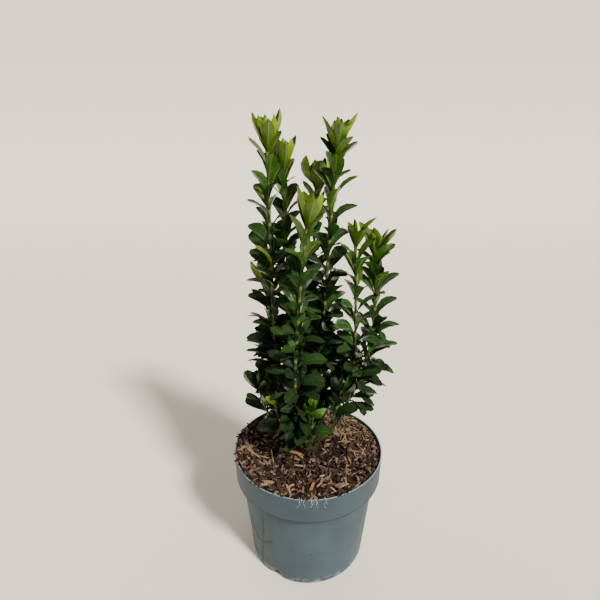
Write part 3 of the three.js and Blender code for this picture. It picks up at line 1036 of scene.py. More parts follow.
    def splinter_piece(self) -> Piece:
        """Makes the long fresh splinters, orange where the wood was split and paler where it has dried.

        Returns:
            The piece.
        """
        key = np.arange(self.splinters) + self.splinter_key
        sizes = self.slivers(key, self.splinter_sizes)
        strewn = self.strewn(key, self.spread(key, self.free, (6, 5)), sizes, self.pitches[2])
        x, y, yaw, length, width, dried = np.array(self.laid).T
        sizes = np.stack([length, width, np.full(len(x), self.laid_thickness)], axis=-1)
        local = self.flake().points * sizes[:, None, :]
        centre = np.stack([x, y, mulch_height(x, y) + self.laid_lift], axis=-1)
        laid = np.einsum("nij,nkj->nki", turns(np.radians(yaw), 2), local) + centre[:, None, :]
        tone = np.concatenate([scatter(key, 22) > self.orange_share, dried]).astype(int)
        return self.flakes("bark_splinters", np.concatenate([strewn, laid]), tone, SPLIT_WOOD)

    def straw_piece(self) -> Piece:
        """Makes the dry fibres, in the drift and around it.

        Returns:
            The piece.
        """
        key = np.arange(self.straws) + self.straw_key
        drift = np.stack([dealt(self.drift_x, key, 31), dealt(self.drift_y, key, 32)], axis=-1)
        spread = self.spread(key, self.straw_free, (33, 34))[:, :2]
        places = np.where(scatter(key, 30)[:, None] < self.drifted, drift, spread)
        points = self.strewn(key, places, self.slivers(key, self.straw_sizes), self.pitches[3])
        return self.flakes("straw_fibres", points, np.zeros(self.straws, int), (DRY_STRAW,))

    def root_piece(self) -> Piece:
        """Makes the few white rootlets that hang over the rim at the front, swaying by two sines.

        Returns:
            The piece.
        """
        share = np.linspace(0, 1, self.root_rings)
        out = np.interp(share, (0, self.root_crest, 1), self.root_reach)
        places = (0, self.root_climb, self.root_crest, 1)
        roots = []
        for k in range(self.roots):
            end = self.root_heights[-1] - dealt(self.root_hang, k, 41)
            height = np.interp(share, places, (*self.root_heights[:-1], end))
            sway = sum(size * np.sin(share * pace + phase * k) for size, pace, phase in self.root_waves)
            bearing = math.radians(dealt(self.root_bearings, k, 40)) + sway * self.root_sway * share
            path = on_circle(out, bearing, height)
            radius = np.linspace(*self.root_radius, self.root_rings)
            roots.append(tube(path[::-1], radius, self.root_sides))
        finishes = [ROOTLET.material()]
        return joined(roots).build("white_rootlets", finishes, 60, "bark_chips", ("bark_mulch",))

    def build(self) -> list[Piece]:
        """Makes the bed and everything that lies on it.

        Returns:
            The pieces.
        """
        # The bed's near-black is damp fines and painted shade between the chips.
        bed = self.bed().build("bark_bed", [BARK_FINES_AND_SHADE.material()], 60, "bark_chips", ("bark_mulch",))
        return [bed, self.chip_piece(), self.splinter_piece(), self.straw_piece(), self.root_piece()]


@dataclass
class RootBall:
    """The compost in the pot, which shows only through the drainage holes."""

    finish: Weathered = COMPOST

    def build(self) -> Piece:
        """Dresses the compost's own solid.

        Returns:
            The solid.
        """
        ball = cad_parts["root_ball"]
        ball.data.materials.clear()
        ball.data.materials.append(self.finish.material())
        return ball


# The shrub


@dataclass
class Stool:
    """The woody stump that every stem forks from, flared and lobed at its foot, in furrowed bark.

    furrows has their count, power and depth, wrinkles the depth, count and slant of the finer ones, and
    wander how far both sway, and how fast with the height and round the stump. Each of the cut's rings has
    its radius, as a share of the stump's, and its height.
    """

    radii: Numbers = (16.5, 13.4, 11.6, 12.0, 13.6)
    heights: Numbers = (0.0, 3.0, 7.0, 12.0, 16.0)
    lobes: int = 5
    lobe_depth: float = 0.07
    bark_depth: float = 0.8
    wander: Numbers = (0.09, 0.7, 3.0)
    furrows: Numbers = (9.0, 0.6, 0.5)
    wrinkles: Numbers = (0.22, 23.0, 0.9)
    end_fade: float = 12.0
    cut_rings: tuple[Range, ...] = ((0.75, 0.1), (0.4, 0.15))
    cut_middle: float = 0.2
    rings: int = 34
    sides: int = 120

    def surface(self) -> Surface:
        """Works out the bark: the profile's radius, lobed at the foot, less furrows that wander upwards.

        Returns:
            The closed surface.
        """
        share = np.linspace(0, 1, self.rings)[:, None]
        height = share * self.heights[-1]
        bearing = around(self.sides)
        radius = np.interp(height, self.heights, self.radii)
        lobed = 1 + self.lobe_depth * (1 - share) * np.cos(self.lobes * bearing)
        sway, climb, turn = self.wander
        wander = bearing + sway * np.sin(climb * height + turn * bearing)
        count, power, depth = self.furrows
        furrow = np.abs(np.sin(count * wander)) ** power * depth
        depth, count, slant = self.wrinkles
        furrow = furrow + depth * np.sin(count * wander + slant * height)
        near_end = np.clip(np.minimum(share, 1 - share) * self.end_fade, 0, 1)
        reach = radius * lobed - self.bark_depth + furrow * near_end
        bark = on_circle(reach, bearing, STOOL_FOOT + height)
        inward, rise = np.split(np.array(self.cut_rings), 2, axis=1)
        cut = on_circle(reach[-1:] * inward, bearing, STOOL_TOP + rise)
        rings = np.concatenate([bark, cut])
        return ring_stack(rings, (0, 0, STOOL_FOOT), (0, 0, STOOL_TOP + self.cut_middle))

    def build(self) -> Piece:
        """Makes the stump."""
        return self.surface().build("stool_bark", [STUMP_BARK.material()], 60, "woody_stem", ("stool",))


@dataclass(frozen=True)
class Stem:
    """One stem: where it runs, and how its leaves are spaced, aged and opened.

    foot is a bearing in degrees round the stool and a distance from its middle. The stem bends to stand
    over shoulder and leans on to tip. enters is the height where its leaves begin, spread how soon it
    reaches its shoulder, turn the bearing of its top leaf pair, leaf the length of a full leaf, opened
    how far its leaves spread against the usual, flush how far down its fresh colours reach, bare how
    much of its foot has lost its leaves, and tuft how many extra pairs fill its top. splay opens its top
    leaves by that many degrees more, cup is how much wider its top leaves are than the rest, and older
    adds to the depth that its leaves are coloured by. bow is how far its top leaves curl back, less than
    0 where they close to a cup, finer_below the share of the leafy height down from the tip past which
    it has extra pairs, and sprigs the share of its older leaves with a side shoot.
    """

    name: str
    foot: Range
    shoulder: Range
    tip: Place
    enters: float
    spread: float
    turn: float
    leaf: float
    opened: float
    flush: float = 1.0
    bare: float = 0.0
    tuft: int = 2
    splay: float = 0.0
    cup: float = 1.35
    older: float = 0.0
    bow: float = -0.4
    finer_below: float = 0.3
    sprigs: float = 0.28

    foot_radius: ClassVar[float] = 2.1
    end_radius: ClassVar[float] = 1.75
    tip_radius: ClassVar[float] = 0.7
    age_depth: ClassVar[float] = 120.0
    shade_height: ClassVar[float] = 42.0
    top_depths: ClassVar[Place] = (1.0, 3.0, 8.0)
    internode: ClassVar[Range] = (15.0, 8.0)
    foot_clearance: ClassVar[float] = 2.5

    def at(self, z: Array) -> Array:
        """Works out the centre line.

        The stem leaves its foot at 1 less the spread-th power of what is left of the rise, and leans on
        by the square of the rise.

        Args:
            z: Heights.

        Returns:
            The centre line's point at each of them.
        """
        bearing = math.radians(self.foot[0])
        foot = self.foot[1] * np.array([math.cos(bearing), math.sin(bearing)])
        rise = np.clip((z - BOUGH_FOOT) / (self.tip[2] - BOUGH_FOOT), 0, 1)[..., None]
        out = 1 - (1 - rise) ** self.spread
        shoulder = np.array(self.shoulder)
        flat = foot + (shoulder - foot) * out + (np.array(self.tip[:2]) - shoulder) * rise ** 2
        return np.concatenate([flat, between((BOUGH_FOOT, self.tip[2]), rise)], axis=-1)

    def direction(self, z: Array) -> Array:
        """Gives the way that the stem runs at a height, over one millimetre."""
        low = np.minimum(z, self.tip[2] - 1)
        return unit(self.at(low + 1) - self.at(low))

    def radius(self, z: Array) -> Array:
        """Gives the stem's radius, which falls evenly up the bough and then up to the tip."""
        heights = (BOUGH_FOOT, self.enters, self.tip[2])
        return np.interp(z, heights, (self.foot_radius, self.end_radius, self.tip_radius))

    def age(self, z: Array) -> Array:
        """Gives a leaf's age by its height: 0 at a tall tip, towards 1 far below it or near the soil."""
        lit = 1 - np.exp((MULCH_TOP - z) / self.shade_height)
        return 1 - np.exp((z - self.tip[2]) / self.age_depth) * lit

    def pair_heights(self) -> Array:
        """Works out the heights of the leaf pairs, closer together towards the foot.

        Returns:
            The heights, from the bud down.
        """
        heights = [self.tip[2] - depth for depth in self.top_depths]
        while True:
            z = heights[-1] - float(between(self.internode, self.age(heights[-1])))
            if z <= self.enters + max(self.foot_clearance, self.bare):
                return np.array(heights)
            heights.append(z)

    def distance(self, points: Array) -> Array:
        """Gives how far points lie from the stem: the measure that shares the crown among the stems."""
        return np.linalg.norm(self.at(points[..., 2]) - points, axis=-1)


# The low stems' small flush or large older puts most of their leaves in the darkest tint, which is painted
# shade low in the crown as well as age.
STEMS = (
    Stem("tall_left", (174, OUTER_FEET), (-37, 6), (-40.5, 8, 469), 156, 6, 14, 35, 1,
         tuft=1, cup=1.26, finer_below=0.6, sprigs=0.2),
    Stem("tall_right", (330, INNER_FEET), (13, -2), (24.5, -4, 466), 158, 5, -14, 35, 1,
         tuft=5, splay=7, cup=1.25, bow=0.3, finer_below=0.4),
    Stem("back_left", (150, INNER_FEET), (-20, 29), (-27, 34, 448), 158, 6, 30, 35, 1,
         cup=1.2, finer_below=0.22, sprigs=0.2),
    Stem("back_centre", (60, INNER_FEET), (4, 34), (7, 37, 431), 158, 6, 4, 31, 0.9, tuft=0, cup=1.7),
    Stem("front", (240, INNER_FEET), (-17, -31), (-3, -34, 404), 156, 6, 20, 36, 1.05,
         tuft=1, cup=1.16, bow=-0.2, finer_below=0.7, sprigs=0.2),
    Stem("right_inner", (354, OUTER_FEET), (51, -6), (44.5, -6, 379), 160, 6, 8, 33, 1.3, bare=24,
         tuft=1, splay=21, cup=0.95, older=10, bow=0.6, finer_below=0.45, sprigs=0.2),
    Stem("right_outer", (20, OUTER_FEET), (75, 10), (68, 12, 366), 174, 3.2, -20, 34, 1.3, bare=22,
         tuft=5, splay=9, cup=1.1, older=10, bow=0.2, finer_below=0.4, sprigs=0.2),
    Stem("low_left", (200, OUTER_FEET), (-50, -8), (-53, -10, 222), 148, 2.2, 40, 29, 1.2, 0.02, 32,
         tuft=1, older=40, finer_below=0.8, sprigs=0.1),
    Stem("low_front_left", (226, OUTER_FEET), (-31, -18), (-36, -22, 208), 147, 2.2, 70, 29, 1.15, 0.02, 14,
         tuft=1, finer_below=0.6, sprigs=0.1),
    Stem("low_front", (266, OUTER_FEET), (4, -23), (4, -28, 202), 147, 2.2, 32, 31, 1.15,
         tuft=1, older=44, finer_below=0.6, sprigs=0),
    Stem("low_right", (310, OUTER_FEET), (28, -18), (34, -22, 224), 148, 2.4, 50, 30, 1.1, 0.02, 28,
         tuft=1, older=40, finer_below=0.8, sprigs=0.1),
    Stem("back_low_right", (52, OUTER_FEET), (30, 28), (36, 34, 240), 148, 2.6, 35, 33, 1.3, 0.2, 36,
         finer_below=0.7, sprigs=0.1),
    Stem("back_low", (98, OUTER_FEET), (-8, 46), (-9, 53, 272), 149, 3, 25, 33, 1.3, 0.4),
    Stem("back_low_left", (138, OUTER_FEET), (-43, 36), (-47, 41, 324), 150, 4, 70, 33, 1.2, 0.6),
)


@dataclass
class Leaves:
    """Leaves as they stand, one row for each: where each starts, how it lies, and its size and depth."""

    root: Array
    run: Array
    side: Array
    length: Array
    half_width: Array
    arch: Array
    seed: Array
    depth: Array

    def under(self) -> Array:
        """Gives the way that each leaf's underside faces."""
        return np.cross(self.run, self.side)

    def rib(self, share: float) -> Array:
        """Gives a point on each midrib: straight along the leaf, less the arch times the square."""
        drop = (self.arch * share ** 2)[..., None] * UP
        return self.root + self.run * (share * self.length)[..., None] - drop

    def chosen(self, pick: Array | tuple) -> "Leaves":
        """Keeps the picked rows of every part."""
        return Leaves(*(part[pick] for part in vars(self).values()))

    @staticmethod
    def together(groups: list["Leaves"]) -> "Leaves":
        """Puts groups of leaves together."""
        return Leaves(*map(np.concatenate, zip(*(vars(group).values() for group in groups))))


@dataclass(frozen=True)
class LeafRule:
    """The rule that leaves grow by: opposite pairs, each a little over a quarter turn from the next.

    They age down the stem and towards the soil, from upright and close to spreading and arched. In the
    tuft and in the stem's lower part, one more pair stands between each two. A crowded leaf gives way
    in steps, each a swing in degrees, a share of the lean and a share of the size: it swings aside, then
    is drawn more upright and shorter.
    """

    steps: tuple[Place, ...] = (
        (0, 1, 1), (26, 1, 0.97), (-26, 1, 0.97), (50, 0.95, 0.92), (-50, 0.95, 0.92),
        (0, 0.72, 0.92), (36, 0.6, 0.86), (-36, 0.6, 0.86), (0, 0.45, 0.8), (0, 0.3, 0.68),
    )
    interleaving: float = 6.0
    limb_gap: float = 3.9
    ground_gap: float = 2.5
    stool_gap: float = 1.0
    pair_turn: float = 94.0
    turn_spread: float = 12.0
    angles: Range = (15.0, 55.0)
    splay_depth: float = 30.0
    largest_angle: float = 100.0
    bud_angle: float = 7.0
    angle_spread: Range = (4.0, 13.0)
    roll: Range = (14.0, 50.0)
    roll_share: Range = (0.3, 1.0)
    light: Place = (0.5, -0.7, 0.5)
    lit_share: float = 0.82
    bud_share: float = 0.74
    bud_width: float = 0.6
    length_spread: float = 0.14
    width_share: Range = (0.35, 0.45)
    arch: Range = (0.02, 0.34)
    root_depth: float = 0.4
    widest: float = 0.5
    end: float = 0.97
    end_width: float = 0.4
    crease: float = 0.55
    fold: float = 0.3
    thickness: float = 1.1
    finer_share: float = 0.9
    tuft_share: float = 0.8

    def grown(self, stem: Stem) -> Leaves:
        """Works out every leaf of a stem for every step of crowding.

        The angle from the stem and the arch grow with age, the bearing turns from pair to pair, and most
        blades roll about their midribs to face the light.

        Args:
            stem: The stem that the leaves stand on.

        Returns:
            The leaves, with one row for each step and one column for each leaf.
        """
        heights = stem.pair_heights()
        order = np.arange(len(heights))
        least = stem.finer_below * (stem.tip[2] - stem.enters)
        finer = order[:-1][(order[:-1] < stem.tuft) | (stem.tip[2] - heights[:-1] > least)] + 0.5
        pair = np.repeat(np.concatenate([order, finer]), 2)
        half = np.tile([0, 1], len(pair) // 2)
        added, bud = pair % 1 > 0, pair == 0
        z = np.interp(pair, order, heights)
        seed = 100 * STEMS.index(stem) + 2 * np.floor(pair) + half + 5000 * added
        old = stem.age(z)
        swing, lean, size = np.array(self.steps).T[..., None]

        splay = stem.splay * np.clip(1 - (stem.tip[2] - z) / self.splay_depth, 0, 1)
        usual = between(self.angles, old) * stem.opened + splay
        usual = usual + between(self.angle_spread, old) * dealt((-1, 1), seed, 1)
        angle = np.radians(np.minimum(np.where(bud, self.bud_angle, usual) * lean, self.largest_angle))
        bearing = stem.turn + self.pair_turn * (pair - 1) + 180 * half
        bearing = np.radians(bearing + self.turn_spread * dealt((-1, 1), seed, 2) + swing)
        share = np.where(added, np.where(pair < 1, self.tuft_share, self.finer_share), 1)
        length = stem.leaf * size * np.where(bud, self.bud_share, share)
        length = length * (1 - self.length_spread * scatter(seed, 3))
        width = length * dealt(self.width_share, seed, 4) * np.where(bud, self.bud_width, 1)
        arch = between(self.arch, old) * lean * length

        axis = stem.direction(z)
        outward = on_circle(1.0, bearing)
        outward = unit(outward - axis * (outward * axis).sum(axis=-1, keepdims=True))
        run = axis * np.cos(angle)[..., None] + outward * np.sin(angle)[..., None]
        level = unit(np.cross(outward, axis))
        twist = np.radians(dealt(self.roll, seed, 5) * between(self.roll_share, old))
        lit = np.sign(level @ np.array(self.light)) * np.where(scatter(seed, 6) < self.lit_share, 1, -1)
        roll = (twist * lit)[..., None]
        side = level * np.cos(roll) + np.cross(run, level) * np.sin(roll)
        root = stem.at(z) + outward * (stem.radius(z) * self.root_depth)[:, None]
        rows = np.ones_like(length)
        return Leaves(root, run, side, length, 0.5 * width, arch, seed * rows, (stem.tip[2] - z) * rows)

    def outline(self, leaves: Leaves) -> Array:
        """Lists the twelve points of each blade that have to be free: its corners and their middles.

        Args:
            leaves: The leaves.

        Returns:
            Twelve points for each.
        """
        root, side = leaves.root, leaves.side * leaves.half_width[..., None]
        end, middle = leaves.rib(self.end), leaves.rib(self.widest)
        above = leaves.rib(self.crease) + leaves.under() * self.fold * leaves.half_width[..., None]
        below = above + leaves.under() * self.thickness
        left, right = middle - side, middle + side
        end_left, end_right = end - side * self.end_width, end + side * self.end_width
        edges = [
            (root, left), (root, right), (root, below),
            (left, end_left), (right, end_right), (end_left, end_right),
        ]
        middles = [(a + b) / 2 for a, b in edges]
        return np.stack([left, end_left, end_right, right, above, below, *middles], axis=-2)

    def free(self, stem: Stem, leaves: Leaves) -> Array:
        """Says which leaves of a stem are free.

        Args:
            stem: The stem that the leaves stand on.
            leaves: The leaves.

        Returns:
            True for each leaf that is all above the soil, the stool and the rim, off the stem's bare foot
            and no nearer to another stem than the stems' leaves may interleave.
        """
        points = self.outline(leaves)
        own = stem.distance(points)
        x, y, z = np.moveaxis(points, -1, 0)
        flat = np.hypot(x, y)
        gap = self.ground_gap
        ground = np.where(flat < RIM_RADIUS + gap, mulch_height(x, y) + gap, 0)
        ground = np.where(flat < STOOL_REACH, STOOL_TOP + self.stool_gap, ground)
        ground = np.where(np.abs(flat - RIM_RADIUS) < gap, POT_HEIGHT + gap, ground)
        others = np.min([other.distance(points) for other in STEMS if other is not stem], axis=0)
        clear_of_limb = (z > stem.enters) | (own > self.limb_gap)
        return ((z > ground) & clear_of_limb & (others > own - self.interleaving)).all(axis=-1)

    def standing(self, stem: Stem) -> Leaves:
        """Takes each leaf at the first step of crowding where it is free, and leaves out the rest.

        Args:
            stem: The stem that the leaves stand on.

        Returns:
            The leaves that are left.
        """
        tries = self.grown(stem)
        fits = self.free(stem, tries)
        leaf = np.flatnonzero(fits.any(axis=0))
        return tries.chosen((fits.argmax(axis=0)[leaf], leaf))


@dataclass(frozen=True)
class Sprigs:
    """Short side shoots in the axils of older leaves, with two pairs of small leaves each."""

    least_depth: float = 80.0
    reach: Range = (4.0, 11.0)
    leaf: Range = (12.0, 22.0)
    width_share: float = 0.4
    arch_share: float = 0.12
    lean_spread: Range = (0.75, 1.25)
    axil: float = 1.2
    lift: float = 1.1
    pairs: tuple[Place, ...] = ((18.0, 1.0, 0.8), (46.0, 0.45, 1.0))

    def grown(self, stem: Stem, leaves: Leaves, rule: LeafRule) -> tuple[Leaves, Array]:
        """Works out the small leaves and the twigs that carry them.

        Each shoot runs out between its leaf and the stem, and bears one upright pair at its tip and one
        wider pair below it, a quarter turn round. pairs has each pair's angle, its share of the way to
        the tip and its size.

        Args:
            stem: The stem that the shoots stand on.
            leaves: The stem's own leaves.
            rule: The rule that says which space is free.

        Returns:
            The small leaves, and the foot and tip of each twig.
        """
        host = leaves.chosen((scatter(leaves.seed, 50) < stem.sprigs) & (leaves.depth > self.least_depth))
        axis = stem.direction(host.root[:, 2])
        out = unit(axis * self.lift + host.run)
        foot = host.root + axis * self.axil
        tip = foot + out * dealt(self.reach, host.seed, 51)[:, None]
        made = []
        for order, (angle, height, size) in enumerate(self.pairs):
            for half in (-1, 1):
                key = host.seed + 1000 * (2 * order + (half > 0))
                away = host.side if order == 0 else host.under()
                lean = math.radians(angle) * dealt(self.lean_spread, key, 52)[:, None]
                run = unit(out * np.cos(lean) + away * half * np.sin(lean))
                side = unit(np.cross(run, out))
                length = dealt(self.leaf, key, 53) * size
                width, arch = self.width_share * length, self.arch_share * length
                root = foot + (tip - foot) * height
                made.append(Leaves(root, run, side, length, 0.5 * width, arch, key, host.depth))
        small = Leaves.together(made)
        return small.chosen(rule.free(stem, small)), np.stack([foot, tip], axis=1)


@dataclass(frozen=True)
class Blade:
    """The shape of one leaf: narrow, blunt, widest past its middle, folded along a pale midrib.

    The leaves of the tuft are wider, more pointed and more folded, by their depth below the tip.
    """

    rows: Numbers = (0.07, 0.2, 0.39, 0.6, 0.79, 0.93)
    above: Numbers = (-1.0, -0.52, -0.06, 0.06, 0.52, 1.0)
    below: Numbers = (-0.07, 0.07)
    breadth: float = 1.84
    longer: float = 1.13
    stalk: float = 0.07
    stalk_width: float = 0.1
    root_power: float = 0.85
    tip_power: Range = (0.38, 0.62)
    notch: float = 0.02
    thickness: float = 0.4
    twist: float = 0.3
    fold: Range = (0.2, 0.6)
    fold_power: float = 0.9
    under_fold: float = 0.65
    curl: Range = (-0.01, 0.11)
    droop: Range = (0.1, 0.7)
    near_soil: Range = (12.0, 50.0)
    held: Range = (0.15, 1.0)
    claw: Range = (0.38, 0.85)
    claw_power: float = 2.3
    tuft_depth: float = 30.0
    tuft_fold: float = 2.0
    wide_depths: Range = (15.0, 50.0)
    point_depths: Range = (5.0, 20.0)
    tuft_point: float = 0.34

    def net(self) -> Surface:
        """Lists the faces of one leaf: five strips above and three below, the middle ones the midrib.

        Kind 0 is the upper face, kind 1 the midrib and kind 2 the under face. The root is the first point
        and the tip the last, and each row has six points above and two below.

        Returns:
            The faces, on points that are all still at the origin.
        """
        count = len(self.rows)
        row = 1 + 8 * np.arange(count)
        ring = np.array([0, 1, 2, 3, 4, 5, 7, 6])
        after = np.roll(ring, -1)
        near, far = row[:-1, None], row[1:, None]
        strips = np.stack([near + ring, near + after, far + after, far + ring], axis=-1).reshape(-1, 4)
        tip = 1 + 8 * count
        root_fan = [(0, row[0] + b, row[0] + a, -1) for a, b in zip(ring, after)]
        tip_fan = [(row[-1] + a, row[-1] + b, tip, -1) for a, b in zip(ring, after)]
        kinds = np.tile([0, 0, 1, 0, 0, 2, 1, 2], count + 1)
        return Surface(np.zeros((tip + 1, 3)), np.concatenate([strips, root_fan, tip_fan]), kinds)

    def points(self, leaves: Leaves, cup: float, bow: float) -> Array:
        """Bends the blade's net onto each leaf.

        A point a share s along and t across lies on the midrib at s, plus the outline's width at s times
        t along the side, which turns with s. It sinks to the underside by the fold times 1 less a power
        of the size of t, and by a curl times the cube of s. The midrib droops by the leaf's arch times
        the square of s. It leaves the stem steeply and curls back like a claw: it bends towards its
        underside by the claw times a power of s less s. The outline is a power of the share past the
        stalk, times a power of 1 less its square, with a slight notch at every other row.

        Args:
            leaves: Where the leaves stand.
            cup: How much wider the top leaves are than the rest.
            bow: How far the top leaves curl back, as a share of the rest.

        Returns:
            The points of each leaf's net.
        """
        count = len(self.rows)
        in_rows = (
            np.repeat(self.rows, 8), np.tile([*self.above, *self.below], count),
            np.tile([0, 0, 0, 0, 0, 0, 1, 1], count), np.repeat(np.cos(np.pi * np.arange(count)), 8),
        )
        s, t, low, ripple = (np.concatenate([[0.0], values, [0.0]]) for values in in_rows)
        s[-1] = 1.0

        def own(ends: Range, draw: int) -> Array:
            """Deals each leaf its own value between two ends."""
            return dealt(ends, leaves.seed, draw)[:, None]

        def by_depth(depths: Range, values: Range) -> Array:
            """Gives each leaf a value by its depth: the first in the tuft and the second far below it."""
            return np.interp(leaves.depth, depths, values)[:, None]

        in_tuft = (0.0, self.tuft_depth)
        half = leaves.half_width[:, None] * by_depth(self.wide_depths, (cup, 1.0))
        length = leaves.length[:, None] * self.longer
        past = np.clip((s - self.stalk) / (1 - self.stalk), 0, 1)
        power = own(self.tip_power, 64) + by_depth(self.point_depths, (self.tuft_point, 0.0))
        width = self.breadth * past ** self.root_power * (1 - past ** 2) ** power
        width = np.maximum(width * (1 + self.notch * ripple), self.stalk_width) * ((s > 0) & (s < 1))
        turn = self.twist * own((-1, 1), 60) * s
        across = (t * width * half)[..., None]
        fold = own(self.fold, 61) * by_depth(in_tuft, (self.tuft_fold, 1.0))
        sink = fold * width * half * (1 - np.abs(t) ** self.fold_power)
        sink = sink * between((1.0, self.under_fold), low)
        sink = (sink + own(self.curl, 62) * length * s ** 3 + self.thickness * low)[..., None]
        bend = own(self.claw, 63) * by_depth(in_tuft, (bow, 1.0)) * length * (s ** self.claw_power - s)
        under, side = leaves.under()[:, None, :], leaves.side[:, None, :]
        cosine, sine = np.cos(turn)[..., None], np.sin(turn)[..., None]
        held = np.interp(leaves.root[:, 2:] - MULCH_TOP, self.near_soil, self.held)
        drop = (leaves.arch[:, None] * own(self.droop, 65) * held * s ** 2)[..., None] * UP
        rib = leaves.root[:, None, :] + leaves.run[:, None, :] * (length * s)[..., None] - drop
        rib = rib + under * bend[..., None]
        return rib + (side * cosine + under * sine) * across + (under * cosine - side * sine) * sink


@dataclass
class Shrub:
    """The whole plant above its stool: for each stem its bark, and its leaves with their side shoots.

    ages has the depths where one age of leaf gives way to the next, and odd the leaves that have turned.
    """

    rule: LeafRule = LeafRule()
    sprigs: Sprigs = Sprigs()
    blade: Blade = Blade()
    ages: Numbers = (4.0, 24.0, 62.0, 150.0)
    age_spread: Range = (0.75, 1.3)
    odd: tuple[tuple[int, Tint], ...] = (
        (22, Tint.YELLOW), (803, Tint.YELLOW), (805, Tint.FRESH), (213, Tint.RUSSET),
    )
    stem_sides: int = 8
    least_radius: float = 1.3
    joint_swell: float = 0.34
    joint_height: float = 1.5
    ridges: int = 4
    ridge_share: float = 0.06
    ring_step: float = 2.2
    into_stool: float = 3.0
    twig_radius: Range = (0.7, 0.45)
    twig_rings: int = 4
    twig_sides: int = 5

    def stem_surface(self, stem: Stem, twigs: Array) -> Surface:
        """Works out a stem's bark, with its side twigs.

        The radius swells by a third in a narrow bell at each leaf pair, which is also marked, and has
        four faint ridges, as young shoots of this plant do.

        Args:
            stem: The stem.
            twigs: The foot and tip of each twig.

        Returns:
            The bark.
        """
        z = np.linspace(BOUGH_FOOT, stem.tip[2], int((stem.tip[2] - BOUGH_FOOT) / self.ring_step) + 2)
        z = np.concatenate([z[:1], z])
        path = stem.at(z)
        path[0, 2] -= self.into_stool
        near = np.exp(-((path[:, 2:] - stem.pair_heights()) / self.joint_height) ** 2).sum(axis=1)[:, None]
        ripple = self.joint_swell * near + self.ridge_share * np.cos(self.ridges * around(self.stem_sides))
        radius = np.maximum(stem.radius(z), self.least_radius)
        bark = [tube(path, radius, self.stem_sides, ripple, np.clip(near, 0, 1))]
        share = np.linspace(0, 1, self.twig_rings)[:, None]
        for foot, tip in twigs:
            twig = foot + (tip - foot) * share
            bark.append(tube(twig, np.linspace(*self.twig_radius, self.twig_rings), self.twig_sides))
        return joined(bark)

    def tints(self, stem: Stem, leaves: Leaves) -> Array:
        """Deals out the tints by how far below the tip a leaf grows, with a jitter from leaf to leaf.

        Args:
            stem: The stem.
            leaves: Its leaves.

        Returns:
            The slots of each leaf's three kinds of face.
        """
        # Past the last depth a leaf takes the darkest tint, which is age and painted shade.
        depth = leaves.depth * dealt(self.age_spread, leaves.seed, 70) / stem.flush + stem.older
        slots = np.array([tint.value for tint in Tint])[np.searchsorted(self.ages, depth)]
        for seed, tint in self.odd:
            slots[leaves.seed == seed] = tint.value
        return slots

    def build(self) -> list[Piece]:
        """Makes each stem's two pieces.

        Returns:
            The pieces.
        """
        finishes = [face.material() for face in LEAF_FACES]
        bark = [YoungBark().material()]
        made = []
        for stem in STEMS:
            leaves = self.rule.standing(stem)
            small, twigs = self.sprigs.grown(stem, leaves, self.rule)
            LOG.info("%s: %d leaves, %d small ones", stem.name, len(leaves.length), len(small.length))
            leaves = Leaves.together([leaves, small])
            points = self.blade.points(leaves, stem.cup, stem.bow)
            mass = self.blade.net().copies(points, self.tints(stem, leaves))
            limb = self.stem_surface(stem, twigs)
            spire, bough = f"spire_{stem.name}", f"bough_{stem.name}"
            made += [
                mass.build(f"leaves_{stem.name}", finishes, 50, "foliage", (spire,)),
                limb.build(f"stem_{stem.name}", bark, 60, "green_stem", (bough, spire)),
            ]
        return made


# The studio


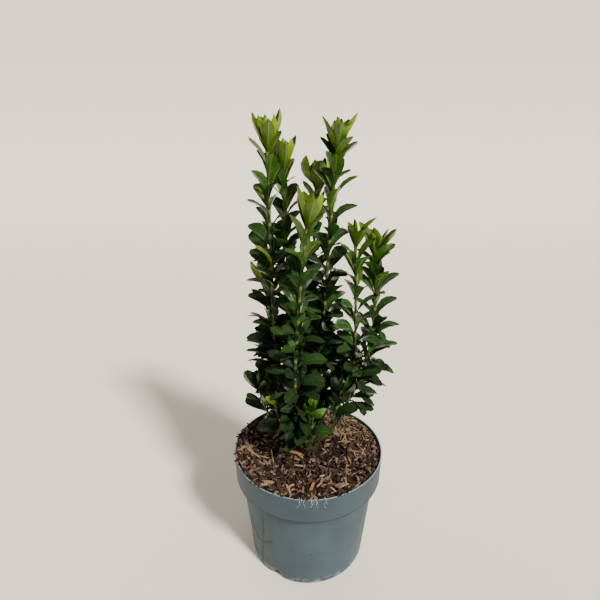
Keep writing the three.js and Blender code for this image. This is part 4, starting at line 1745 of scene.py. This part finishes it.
@dataclass
class Studio:
    """A plain pale floor, soft light from the right and front, and a camera at the photograph's angle.

    Each lamp has a name, a strength, how wide it looks, how far it stands to the right of the camera and
    how high above the floor, the last three in degrees.
    """

    camera: Place = (-9.3, -435.8, 476.9)
    pitch: float = 20.02
    lens: float = 27.0
    floor_half: float = 6000.0
    sweep_start: float = 1400.0
    sweep_radius: float = 900.0
    sweep_top: float = 2600.0
    sweep_steps: int = 33
    sky: str = "#dedcd6"
    sky_strength: float = 0.53
    lamp_colour: str = "#fff4e4"
    lamps: tuple[tuple[str, float, float, float, float], ...] = (
        ("key", 6.3, 9.0, 40.0, 43.0), ("rim", 1.6, 20.0, -122.0, 24.0),
    )

    def floor(self) -> None:
        """Lays the floor, which sweeps up behind as a studio backdrop and isn't part of the object.

        Its section runs level, then round a quarter circle, then straight up.
        """
        turn = np.linspace(0, np.pi / 2, self.sweep_steps)
        y = self.sweep_start + self.sweep_radius * np.sin(turn)
        y = np.concatenate([[-self.floor_half], y, y[-1:]])
        z = np.concatenate([[0.0], self.sweep_radius * (1 - np.cos(turn)), [self.sweep_top]])
        x = np.array([-self.floor_half, self.floor_half])
        points = np.stack(np.broadcast_arrays(x, y[:, None], z[:, None]), axis=-1).reshape(-1, 3)
        Surface(points, grid_faces(len(y), 2)).build("floor", [StudioPaper().material()], 180)

    def place(self, name: str, data: bpy.types.ID, bearing: float, tilt: float) -> Piece:
        """Adds a lamp or a camera.

        Args:
            name: Its name.
            data: The lamp or the camera's lens.
            bearing: How far it is turned about Z, in degrees.
            tilt: How far it is tipped up from looking straight down, in degrees.

        Returns:
            The object.
        """
        thing = bpy.data.objects.new(name, data)
        thing.rotation_euler = (math.radians(tilt), 0, math.radians(bearing))
        bpy.context.scene.collection.objects.link(thing)
        return thing

    def build(self) -> None:
        """Sets up the floor, the lights, the sky and the camera."""
        self.floor()
        for name, strength, softness, bearing, height in self.lamps:
            light = bpy.data.lights.new(name, "SUN")
            light.energy = strength
            light.angle = math.radians(softness)
            light.color = linear(self.lamp_colour)[:3]
            self.place(name, light, bearing, 90 - height)
        world = bpy.data.worlds.new("studio")
        bpy.context.scene.world = world
        world.use_nodes = True
        sky = world.node_tree.nodes["Background"]
        sky.inputs["Color"].default_value = linear(self.sky)
        sky.inputs["Strength"].default_value = self.sky_strength
        lens = bpy.data.cameras.new("camera")
        lens.lens = self.lens
        camera = self.place("camera", lens, 0.0, 90 - self.pitch)
        camera.location = [MM * v for v in self.camera]
        bpy.context.scene.camera = camera


def main() -> None:
    """Builds the studio and the object, and logs each piece."""
    logging.basicConfig(level=logging.INFO, format="%(message)s")
    Studio().build()
    filled_pot = [NurseryPot().build(), RootBall().build(), *BarkMulch().build()]
    for piece in [*filled_pot, Stool().build(), *Shrub().build()]:
        LOG.info("%s: %d faces", piece.name, len(piece.data.polygons))


if __name__ == "__main__":
    main()
